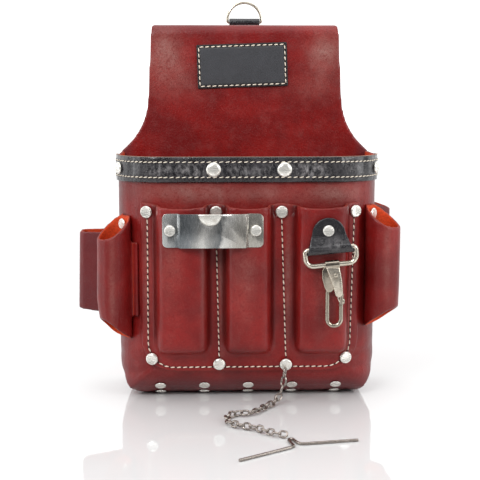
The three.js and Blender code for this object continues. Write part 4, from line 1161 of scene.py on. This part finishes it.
@dataclass
class SideLoops:
    """The four loops on the sides of the pouch."""

    finishes: Finishes
    front_centre: Place = (110.38 * MM, -33.15 * MM)
    rear_depth: float = 18.5 * MM

    def masks(self, centre: Place, places: Array, normals: Array) -> dict[str, Array]:
        """Flesh inside the tube, raw leather on its upper cut ends and painted shade on the faces that turn down.

        Args:
            centre: The middle of the tube, seen from above.
            places: The points.
            normals: Their normals.

        Returns:
            The masks.
        """
        inward = np.array(centre) - places[:, :2]
        inward /= np.linalg.norm(inward, axis=1)[:, None] + 1e-9
        inner = (normals[:, :2] * inward).sum(1)
        near = 1.0
        if centre[1] == self.front_centre[1]:
            near = ease(-np.hypot(places[:, 0] - centre[0], places[:, 1] - centre[1]), -17 * MM, -15 * MM)
        return {
            "flesh": ease(inner, 0.05, 0.35) * near,
            "edge": ease(normals[:, 2], 0.5, 0.8) * 0.55,
            "recess": ease(-normals[:, 2], 0.35, 0.75) * 0.8,
        }

    def squeeze(self, side: int, front: bool, centre: Place, places: Array, normals: Array) -> Array:
        """Draws in a loop's lower end, rounds the tip of its mouth and lets it lean.

        Args:
            side: -1 for the left of the pouch, 1 for its right.
            front: Whether it is one of the two round front loops.
            centre: The middle of the tube, seen from above.
            places: The points.
            normals: Their normals.

        Returns:
            The moved points.
        """
        high, low = places[:, 2].max(), places[:, 2].min()
        up = (places[:, 2] - low) / (high - low)
        away = np.hypot(np.abs(places[:, 0]) - 67.5 * MM, places[:, 1] + 2 * MM) - 42.9 * MM
        loose = np.clip(away / (12 * MM), 0, 1)
        if not front:
            places[:, 0] += side * np.clip(away / (30 * MM), 0, 1) * (0.9 - 1.8 * up) * MM
            return places
        narrow = (0.91 if side < 0 else 0.98) - (0.27 if side < 0 else 0.06) * ease(-up, -0.36, 0.0)
        places[:, 0] = centre[0] + (places[:, 0] - centre[0]) * (1 + (narrow - 1) * loose)
        places[:, 0] -= (1 if side < 0 else 0) * loose * ease(-up, -0.8, -0.2) * 0.9 * MM
        tip = ease(up, 0.82, 1.0)
        foot = ease(-up, -0.2, 0.0) * (1 if side < 0 else 0.4)
        places[:, 2] -= (tip**2 * 0.8 + foot * (1 - 0.5 * loose) * 2.6) * MM
        places[:, :2] += normals[:, :2] * (tip * loose * 0.5 * MM * np.sin(up * 31))[:, None]
        places[:, 1] += loose * 0.7 * MM * np.sin(up * 5.0 + side)
        return places

    def build(self) -> None:
        """Makes the four loops."""
        for side, word in ((-1, "left"), (1, "right")):
            lo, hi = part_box(f"loop_{word}_rear")
            middles = {
                "front": (side * self.front_centre[0], self.front_centre[1]),
                "rear": ((lo.x + hi.x) / 2, self.rear_depth),
            }
            for place, centre in middles.items():
                Hide(
                    f"loop_{word}_{place}",
                    0.95 * MM,
                    self.finishes.oxblood,
                    Slot.OXBLOOD,
                    lambda p, n, c=centre: self.masks(c, p, n),
                    lambda p, n, s=side, f=place == "front", c=centre: self.squeeze(s, f, c, p, n),
                    wave=0.2 * MM,
                    wave_size=35 * MM,
                ).build()


@dataclass
class LabelPatch:
    """The blank patch stitched to the neck."""

    finishes: Finishes
    border: float = 3.4 * MM
    tilt: float = 2.0

    def build(self) -> bpy.types.Object:
        """Makes the patch.

        Returns:
            The patch, riding on the pouch.
        """
        piece = merged_copy("label_patch", "label_patch_cloth")
        round_off = piece.modifiers.new("round_off", "BEVEL")
        round_off.width = 0.6 * MM
        round_off.segments = 3
        divide = piece.modifiers.new("divide", "REMESH")
        divide.mode = "VOXEL"
        divide.voxel_size = 0.5 * MM
        divide.use_smooth_shade = True
        piece = settle(piece)
        places, _ = points_of(piece.data)
        lo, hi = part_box("label_patch")
        across, up, half_w, half_h = self.own_place(places, lo, hi)
        from_edge = np.minimum(half_w - np.abs(across), half_h - np.abs(up))
        write_mask(piece.data, "border", ease(-from_edge, -self.border, -self.border + 0.8 * MM))
        welt = ease(-np.abs(from_edge - self.border * 0.55), -2.2 * MM, -0.6 * MM)
        places[:, 1] += np.where(places[:, 1] < (lo.y + hi.y) / 2, welt * 0.35 * MM, 0)
        piece.data.vertices.foreach_set("co", places.astype(np.float32).ravel())
        return dress(piece, self.finishes.label, Slot.LABEL, Body.POUCH, "label_patch")

    def own_place(self, places: Array, lo: Vector, hi: Vector) -> tuple[Array, Array, float, float]:
        """Each point across and up the tilted patch, and half its width and height.

        Args:
            places: The points.
            lo: The patch's lowest corner.
            hi: Its highest corner.

        Returns:
            Distance across, distance up, half width and half height.
        """
        c, s = math.cos(math.radians(self.tilt)), math.sin(math.radians(self.tilt))
        dx, dz = places[:, 0] - (lo.x + hi.x) / 2, places[:, 2] - (lo.z + hi.z) / 2
        box_w, box_h = hi.x - lo.x, hi.z - lo.z
        spread = c * c - s * s
        width, height = (box_w * c - box_h * s) / spread, (box_h * c - box_w * s) / spread
        return dx * c + dz * s, dz * c - dx * s, width / 2, height / 2


# ---------------------------------------------------------------- thread


Row = list[tuple[Vector, Vector]]


@dataclass
class Seams:
    """Every row of hand-sized stitches."""

    finishes: Finishes
    pitch: float = 5.0 * MM
    thread: float = 0.45 * MM
    stitch: float = 3.7 * MM
    search: float = 60 * MM
    shell_corner: float = 40 * MM
    standoff: float = 12 * MM
    band_out: float = 2.7 * MM
    band_inset: float = 4.4 * MM
    label_inset: float = 1.9 * MM
    hole: tuple[float, float, float] = (0.72 * MM, 0.62 * MM, 0.16 * MM)

    def sew(
        self, name: str, surface: bpy.types.Object, rows: list[Row], slant: float = 8.0, fine: float = 1.0
    ) -> None:
        """Sews rows of stitches on a surface.

        Args:
            name: The name of the thread piece.
            surface: The leather they lie on.
            rows: Each row as points off the surface with the direction towards it.
            slant: How far each stitch is turned from its row, in degrees.
            fine: The thread's thickness as a share of the usual one.
        """
        bm = bmesh.new()
        bm.from_mesh(surface.data)
        tree = BVHTree.FromBMesh(bm)
        bm.free()
        thread, holes = bmesh.new(), bmesh.new()
        for row in rows:
            lengths = [0.0]
            for (a, _), (b, _) in zip(row, row[1:]):
                lengths.append(lengths[-1] + (b - a).length)
            count = max(1, round(lengths[-1] / self.pitch))
            for i in range(count):
                place, along, inward = self.station(row, lengths, (i + 0.5) * lengths[-1] / count)
                hit, normal, _, _ = tree.ray_cast(place, inward, self.search)
                if hit is None:
                    continue
                if normal.dot(inward) > 0:
                    normal = -normal
                run = (along - normal * along.dot(normal)).normalized()
                run = Matrix.Rotation(math.radians(slant), 3, normal) @ run
                axes = Matrix((run, normal.cross(run), normal)).transposed().to_4x4()
                seat = Matrix.Translation(hit + normal * self.thread * fine * 0.35) @ axes
                size = Matrix.Diagonal((self.stitch / 2, self.thread * fine * 1.15, self.thread * fine, 1.0))
                bmesh.ops.create_icosphere(thread, subdivisions=2, radius=1.0, matrix=seat @ size)
                for end in (-1, 1):
                    mouth = Matrix.Translation(hit + run * end * self.pitch * 0.46) @ axes
                    dot = Matrix.Diagonal((*self.hole, 1.0))
                    bmesh.ops.create_icosphere(holes, subdivisions=1, radius=1.0, matrix=mouth @ dot)
        slot = Slot(surface["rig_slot"])
        dress(from_bmesh(name + "_thread", thread), self.finishes.cream, slot, Body.POUCH)
        dress(from_bmesh(name + "_needle_holes", holes), self.finishes.hole, slot, Body.POUCH)

    def station(self, row: Row, lengths: list[float], at: float) -> tuple[Vector, Vector, Vector]:
        """The place, direction and inward direction at a distance along a row.

        Args:
            row: The row's points and inward directions.
            lengths: The distance of each point from the start.
            at: The wanted distance.

        Returns:
            The place, the direction along the row and the direction to the surface.
        """
        i = max(0, min(len(row) - 2, int(np.searchsorted(lengths, at)) - 1))
        (a, into_a), (b, into_b) = row[i], row[i + 1]
        t = (at - lengths[i]) / max(1e-9, lengths[i + 1] - lengths[i])
        return a.lerp(b, t), (b - a).normalized(), into_a.lerp(into_b, t).normalized()

    def front_row(self, line: Sequence[Place]) -> Row:
        """A row seen from the front, given as places across and up."""
        return [(Vector((x, -0.075, z)), Vector((0, 1, 0))) for x, z in line]

    def pocket_rows(self) -> list[Row]:
        """Two rows between the pockets and one round the panel's sides and foot."""
        lo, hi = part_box("pocket_panel")
        top = hi.z - 13 * MM
        foot = lo.z + 3.6 * MM
        tops, feet = seam_places("top"), seam_places("foot")
        rows = [self.front_row([(feet[i], foot + 8 * MM), (tops[i], top)]) for i in (1, 2)]
        corners = [(tops[0], top), (feet[0] - 3.4 * MM, foot), (feet[3] + 3.4 * MM, foot), (tops[3], top)]
        return [*rows, self.front_row(rounded_line(corners, [0, 21 * MM, 21 * MM, 0], 10))]

    def band_rows(self) -> list[Row]:
        """A row along each edge of the rim band, round to its ends."""
        lo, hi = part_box("rim_band")
        reach = self.shell_corner + self.standoff
        inset = self.band_out + self.shell_corner
        corner_x, corner_y = hi.x - inset, lo.y + inset
        rows = []
        for z in (hi.z - self.band_inset, lo.z + self.band_inset):
            plan: Row = []
            for side in (-1, 1):
                half = [
                    (Vector((side * (corner_x + reach), hi.y - 2 * MM, z)), Vector((-side, 0, 0))),
                    *[
                        (
                            Vector((side * (corner_x + reach * math.cos(a)), corner_y - reach * math.sin(a), z)),
                            Vector((-side * math.cos(a), math.sin(a), 0)),
                        )
                        for a in np.linspace(0, math.pi / 2, 9)
                    ],
                ]
                plan += half if side < 0 else half[::-1]
            rows.append(plan)
        return rows

    def label_rows(self, patch: LabelPatch) -> list[Row]:
        """Four rows just inside the patch's edge."""
        lo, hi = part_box("label_patch")
        _, _, half_w, half_h = patch.own_place(np.zeros((1, 3)), lo, hi)
        w, h = half_w - self.label_inset, half_h - self.label_inset
        middle = (lo + hi) / 2
        turn = Matrix.Rotation(math.radians(patch.tilt), 2)
        corners = [turn @ Vector(c) for c in ((-w, h), (w, h), (w, -h), (-w, -h))]
        flat = [(middle.x + c.x, middle.z + c.y) for c in corners]
        rows = []
        for a, b in zip(flat, [*flat[1:], flat[0]]):
            rows.append([(Vector((x, 0.0, z)), Vector((0, 1, 0))) for x, z in (a, b)])
        return rows


# ---------------------------------------------------------------- rivets


@dataclass
class Rivets:
    """All the tubular rivets, as rimmed or domed caps with rolled tails."""

    finishes: Finishes
    sides: int = 28
    rise: float = 2.2 * MM
    shank: float = 1.5 * MM
    washer: float = 3.8 * MM
    thick: float = 1.0 * MM

    def axis_of(self, node: str) -> tuple[Vector, Vector, float, float]:
        """Finds how a rivet of the frame stands.

        Args:
            node: The rivet's name.

        Returns:
            The top of its cap, its outward direction, the cap's radius and the rivet's length.
        """
        places, _ = points_of(frame["nodes"][node].data)
        middle = places.mean(0)
        spread = places - middle
        sizes, axes = np.linalg.eigh(spread.T @ spread)
        odd = 0 if abs(sizes[0] - sizes[1]) > abs(sizes[1] - sizes[2]) else 2
        axis = axes[:, odd]
        along = spread @ axis
        away = np.linalg.norm(spread - np.outer(along, axis), axis=1)
        if along[away.argmax()] < 0:
            axis, along = -axis, -along
        top = middle + axis * along.max()
        return Vector(top), Vector(axis), float(away.max()), float(along.max() - along.min())

    def turn(self, bm: bmesh.types.BMesh, profile: list[Place], place: Matrix) -> None:
        """Spins a profile of radius and height and puts it in place.

        Args:
            bm: The mesh that takes it.
            profile: Points from the axis out and back to the axis.
            place: Where it goes; its own Z is the axis.
        """
        before = set(bm.verts)
        verts = [bm.verts.new((r, 0.0, h)) for r, h in profile]
        edges = [bm.edges.new(pair) for pair in zip(verts, verts[1:])]
        spin_round(bm, verts + edges, (0, 0, 1), self.sides)
        made = [v for v in bm.verts if v not in before]
        bmesh.ops.remove_doubles(bm, verts=made, dist=1e-7)
        made = [v for v in bm.verts if v not in before]
        bmesh.ops.transform(bm, matrix=place, verts=made)

    def cap(self, kind: Cap, radius: float) -> list[Place]:
        """The outline of a cap below its top, from its axis out and back."""
        crown = self.rise * (kind.value[-1][1] - 1) + (0.02 * self.rise if kind is not Cap.DISC else 0.0)
        return [(0.0, -self.rise), *[(radius * r, self.rise * (h - 1)) for r, h in kind.value], (0.0, crown)]

    def tail(self, length: float) -> list[Place]:
        """The outline of a rivet's shank and rolled washer below its cap."""
        shank, washer, thick = self.shank, self.washer, self.thick
        return [
            (0.0, -length + thick * 0.4), (shank * 0.7, -length + thick * 0.4), (shank, -length),
            (shank * 1.5, -length), (washer * 0.8, -length + thick * 0.25), (washer, -length + thick * 0.6),
            (washer * 0.97, -length + thick), (shank, -length + thick), (shank, -self.rise), (0.0, -self.rise),
        ]

    def build(self, groups: dict[str, tuple[str, Cap]]) -> None:
        """Makes each group of rivets as one piece.

        Args:
            groups: For each piece, the start of its rivets' names and their kind of cap.
        """
        for name, (stem, kind) in groups.items():
            nodes = sorted(n for n in frame["nodes"] if n.startswith(stem))
            bm = bmesh.new()
            for node in nodes:
                top, out, radius, length = self.axis_of(node)
                place = Matrix.Translation(top) @ out.to_track_quat("Z", "Y").to_matrix().to_4x4()
                self.turn(bm, self.cap(kind, radius), place)
                self.turn(bm, self.tail(length), place)
            dress(from_bmesh(name, bm), self.finishes.rivet, Slot.RIVET, Body.POUCH, *nodes)


# ---------------------------------------------------------------- metal fittings


@dataclass
class TapeClip:
    """The bent plate that holds a tape measure's clip."""

    finishes: Finishes
    notch_x: float = -31.5 * MM
    notch_radius: float = 10.1 * MM
    soft_edge: float = 0.18 * MM
    dish_depth: float = 1.7 * MM

    def build(self) -> None:
        """Rounds the plate's edges and gives it the plate finish with its painted reflections."""
        piece = merged_copy("tape_clip", "tape_clip_plate")
        soft = piece.modifiers.new("soft_edges", "BEVEL")
        soft.width = self.soft_edge
        soft.segments = 2
        soft.limit_method = "ANGLE"
        soft.angle_limit = math.radians(28)
        piece = settle(piece)
        for face in piece.data.polygons:
            face.use_smooth = True
        piece.data.set_sharp_from_angle(angle=math.radians(32))
        dress(piece, self.finishes.plate, Slot.PLATE, Body.POUCH, "tape_clip")
        self.thumb_dish()

    def thumb_dish(self) -> None:
        """The dished half-round tongue behind the plate's notch."""
        lo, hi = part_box("tape_clip")
        middle = Vector((self.notch_x, lo.y + 2.0 * MM, hi.z + 0.2 * MM))
        bm = bmesh.new()
        shape = Matrix.Diagonal((self.notch_radius, self.dish_depth, self.notch_radius, 1.0))
        place = Matrix.Translation(middle) @ shape
        bmesh.ops.create_uvsphere(bm, u_segments=40, v_segments=24, radius=1.0, matrix=place)
        geometry = [*bm.verts, *bm.edges, *bm.faces]
        cut = {"plane_co": middle - Vector((0, 0, 0.6 * MM)), "plane_no": (0, 0, 1), "clear_outer": True}
        rim = bmesh.ops.bisect_plane(bm, geom=geometry, **cut)["geom_cut"]
        bmesh.ops.contextual_create(bm, geom=[e for e in rim if isinstance(e, bmesh.types.BMEdge)])
        dress(from_bmesh("tape_clip_thumb_dish", bm), self.finishes.rivet, Slot.PLATE, Body.POUCH)


@dataclass
class Rings:
    """The top ring with its strip, and the hook tab with its ring."""

    finishes: Finishes
    top_radius: float = 14.7 * MM
    top_wire: float = 1.25 * MM
    top_bend: float = 1.6 * MM
    top_rise: float = 0.8 * MM
    hook_half_width: float = 20.3 * MM
    hook_drop: float = 13.0 * MM
    hook_wire: float = 2.0 * MM

    def joint(self, name: str) -> tuple[Vector, Vector]:
        """The place and axis of one of the frame's joints."""
        found = next(j for j in frame["joints"] if j["name"] == name)
        return Vector(found["pos_m"]), Vector(found["axis"])

    def top_ring(self) -> None:
        """Bends the ring above the fold."""
        bar, _ = self.joint("top_ring_swing")
        tight, rise, r = self.top_bend, self.top_rise, self.top_radius
        line = [(-r + tight * (1 - math.cos(a)), tight * (1 - math.sin(a))) for a in np.linspace(math.pi / 2, 0, 5)]
        line += [(-r * math.cos(a), tight + rise + r * math.sin(a)) for a in np.linspace(0, math.pi, 40)]
        line += [(r - tight * (1 - math.cos(a)), tight * (1 - math.sin(a))) for a in np.linspace(0, math.pi / 2, 5)]
        points = [bar + Vector((x, 0, z)) for x, z in line]
        ring = wire("top_ring_wire", points, self.top_wire, closed=True)
        dress(ring, self.finishes.warm, Slot.PLATE, Body.TOP_RING, "top_ring")

    def hook_ring(self) -> None:
        """Bends the oblong ring under the tab."""
        bar, across = self.joint("hook_ring_swing")
        up = Vector((-across.z, 0, across.x))
        w, low = self.hook_half_width, -self.hook_drop
        corners = [(0, 0), (w, 0), (w, low), (-w, low), (-w, 0), (0, 0)]
        line = rounded_line(corners, [0, 2.6 * MM, 6.5 * MM, 6.5 * MM, 2.6 * MM, 0], 9)
        points = [bar + across * u + up * v for u, v in line[:-1]]
        ring = wire("hook_ring_wire", points, self.hook_wire, closed=True)
        dress(ring, self.finishes.warm, Slot.PLATE, Body.HOOK_RING, "hook_ring")

    def tab_masks(self, places: Array, normals: Array) -> dict[str, Array]:
        """A painted highlight patch low on the strip's face."""
        high, low = places[:, 2].max(), places[:, 2].min()
        up = (places[:, 2] - low) / (high - low)
        across = (places[:, 0] - places[:, 0].mean()) / np.ptp(places[:, 0])
        return {"polish": 0.42 * np.exp(-(((up - 0.32) / 0.13) ** 2) - (((across - 0.12) / 0.26) ** 2))}

    def tab_shape(self, places: Array, normals: Array) -> Array:
        """Spreads the tab's foot and pinches it in a line above the ring's bar."""
        high, low = places[:, 2].max(), places[:, 2].min()
        up = (places[:, 2] - low) / (high - low)
        middle = places[:, 0].mean()
        places[:, 0] += (places[:, 0] - middle) * 0.09 * ease(-up, -0.6, -0.1)
        pinch = np.exp(-(((up - 0.17) / 0.028) ** 2)) * ease(-normals[:, 1], 0.3, 0.8)
        places[:, 1] += pinch * 0.5 * MM
        return places

    def tabs(self) -> None:
        """Softens the two black strips."""
        trim = self.finishes.black
        Hide("hook_tab", 0.42 * MM, trim, Slot.BLACK, self.tab_masks, self.tab_shape, 5, 0.0).build()
        Hide("ring_tab", 0.42 * MM, trim, Slot.BLACK, self.tab_masks, None, 5, 0.0).build()

    def build(self) -> None:
        """Makes both rings and both strips."""
        self.tabs()
        self.top_ring()
        self.hook_ring()


@dataclass
class SnapHook:
    """The snap hook that hangs on the hook ring, with its sprung gate, drawn from the eye of the hook."""

    finishes: Finishes
    wire_radius: float = 1.75 * MM
    bend: float = 5.5
    shank: float = -5.7
    bend_middle: float = -44.2
    eye_reach: Place = (-7.8, 3.4)
    eye_wall: Place = (2.45, 3.75)
    tilt: float = 5.7
    stop: Place = (6.9, -29.8)
    stop_size: tuple[float, float, float] = (1.5 * MM, 1.6 * MM, 2.6 * MM)
    cheek_thick: float = 4.6 * MM
    strap_thick: float = 7.6 * MM
    pin_radius: float = 1.6 * MM
    pin_length: float = 8.6 * MM
    leaf: tuple[Place, ...] = ((-0.4, -20.0), (0.5, -20.0), (4.4, -30.2), (3.7, -30.6))
    cheek: tuple[Place, ...] = (
        (-7.4, 0.4), (2.6, 0.4), (3.0, -8.0), (-0.6, -20.0), (-3.2, -22.4), (-6.6, -22.2), (-8.4, -18.2),
        (-10.4, -10.6), (-10.2, -5.0),
    )
    strap: tuple[Place, ...] = (
        (-7.4, -1.8), (3.6, -1.8), (5.8, -13.5), (6.4, -22.6), (5.4, -25.4), (2.8, -26.6), (0.6, -25.2),
        (-1.6, -17.5), (-4.6, -9.5),
    )

    def place(self) -> Matrix:
        """The eye's place in the frame."""
        joint = next(j for j in frame["joints"] if j["name"] == "snap_hook_swing")
        return Matrix.Translation(Vector(joint["pos_m"]))

    def hook_line(self) -> list[Vector]:
        """The middle of the bent wire, down from the cheek, round and up to its tip."""
        middle = self.shank + self.bend
        line = [(self.shank, -19.0), (self.shank, self.bend_middle + 8.0)]
        for a in np.linspace(math.pi, 2 * math.pi, 15):
            line.append((middle + self.bend * math.cos(a), self.bend_middle + self.bend * math.sin(a)))
        line += [(middle + self.bend, -34.0), (middle + self.bend + 0.3, -23.5)]
        return [Vector((x * MM, 0.0, z * MM)) for x, z in line]

    def body(self) -> None:
        """The rolled eye, the cheek and the bent wire with its small stop."""
        place = self.place()
        bm = bmesh.new()
        plate(bm, self.cheek, self.cheek_thick, 0.8 * MM, place)
        before = set(bm.verts)
        (left, right), (inner, outer) = self.eye_reach, self.eye_wall
        around = ((left, inner), (left, outer), (right, outer), (right, inner))
        roll = [bm.verts.new((x * MM, 0, r * MM)) for x, r in around]
        edges = [bm.edges.new((roll[i], roll[(i + 1) % 4])) for i in range(4)]
        spin_round(bm, roll + edges, (1, 0, 0), 28)
        made = [v for v in bm.verts if v not in before]
        lean = Matrix.Rotation(math.radians(-self.tilt), 4, "Y")
        bmesh.ops.transform(bm, matrix=place @ lean, verts=made)
        stop = place @ Matrix.Translation(Vector((self.stop[0], 0, self.stop[1])) * MM)
        bead = stop @ Matrix.Diagonal((*self.stop_size, 1.0))
        bmesh.ops.create_uvsphere(bm, u_segments=16, v_segments=10, radius=1.0, matrix=bead)
        stem = wire("stem", [place @ p for p in smooth_route(self.hook_line(), 0.8 * MM)], self.wire_radius)
        bm.from_mesh(stem.data)
        bpy.data.objects.remove(stem)
        piece = from_bmesh("snap_hook_body", bm)
        piece.data.set_sharp_from_angle(angle=math.radians(50))
        # The hook's body takes the darker copy of the nickel: painted shade.
        dress(piece, self.finishes.shaded, Slot.PLATE, Body.SNAP_HOOK, "snap_body")

    def gate(self) -> None:
        """The tapered strap that closes the hook, with its thin leaf spring."""
        bm = bmesh.new()
        plate(bm, self.strap, self.strap_thick, 1.1 * MM, self.place())
        plate(bm, self.leaf, 2.2 * MM, 0.2 * MM, self.place())
        piece = from_bmesh("snap_hook_gate", bm)
        piece.data.set_sharp_from_angle(angle=math.radians(50))
        dress(piece, self.finishes.warm, Slot.PLATE, Body.GATE, "snap_gate")

    def pin(self) -> None:
        """The gate's pin with its low heads."""
        joint = next(j for j in frame["joints"] if j["name"] == "gate_hinge")
        bm = bmesh.new()
        turn = Matrix.Translation(Vector(joint["pos_m"])) @ Matrix.Rotation(math.pi / 2, 4, "X")
        bmesh.ops.create_cone(
            bm, cap_ends=True, segments=24, radius1=self.pin_radius, radius2=self.pin_radius,
            depth=self.pin_length, matrix=turn,
        )
        rims = [e for e in bm.edges if e.calc_face_angle(0.0) > 1.0]
        bmesh.ops.bevel(bm, geom=rims, offset=0.35 * MM, affect="EDGES", segments=2, profile=0.5, material=-1)
        dress(from_bmesh("snap_hook_pin", bm), self.finishes.warm, Slot.PLATE, Body.SNAP_HOOK, "snap_gate_pin")

    def build(self) -> None:
        """Makes the hook, its gate and the gate's pin."""
        self.body()
        self.gate()
        self.pin()


# ---------------------------------------------------------------- the whole pouch


def main() -> None:
    """Builds every piece in order."""
    logging.basicConfig(level=logging.INFO, format="%(message)s")
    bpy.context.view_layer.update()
    Studio().build()
    finishes = Finishes()
    TapeChain().build(finishes)
    body = PouchBody(finishes).build()
    SideLoops(finishes).build()
    patch = LabelPatch(finishes)
    patch_piece = patch.build()
    seams = Seams(finishes)
    seams.sew("pocket_seams", body["panel"], seams.pocket_rows())
    seams.sew("band_seams", body["band"], seams.band_rows(), slant=12.0, fine=0.78)
    seams.sew("label_seams", patch_piece, seams.label_rows(patch), slant=6.0)
    Rivets(finishes).build({
        "pocket_rivets": ("pocket_rivet_", Cap.DISC),
        "band_rivets": ("band_rivet_", Cap.DOME),
        "base_rivets": ("base_rivet_", Cap.LOW),
        "loop_rivets": ("loop_rivet_", Cap.DISC),
        "flap_rivets": ("belt_flap_rivet_", Cap.DISC),
        "clip_rivets": ("tape_clip_rivet_", Cap.DISC),
        "hook_tab_rivets": ("hook_tab_rivet", Cap.DISC),
        "ring_tab_rivets": ("ring_tab_rivet", Cap.DISC),
    })
    TapeClip(finishes).build()
    Rings(finishes).build()
    SnapHook(finishes).build()


if __name__ == "__main__":
    main()
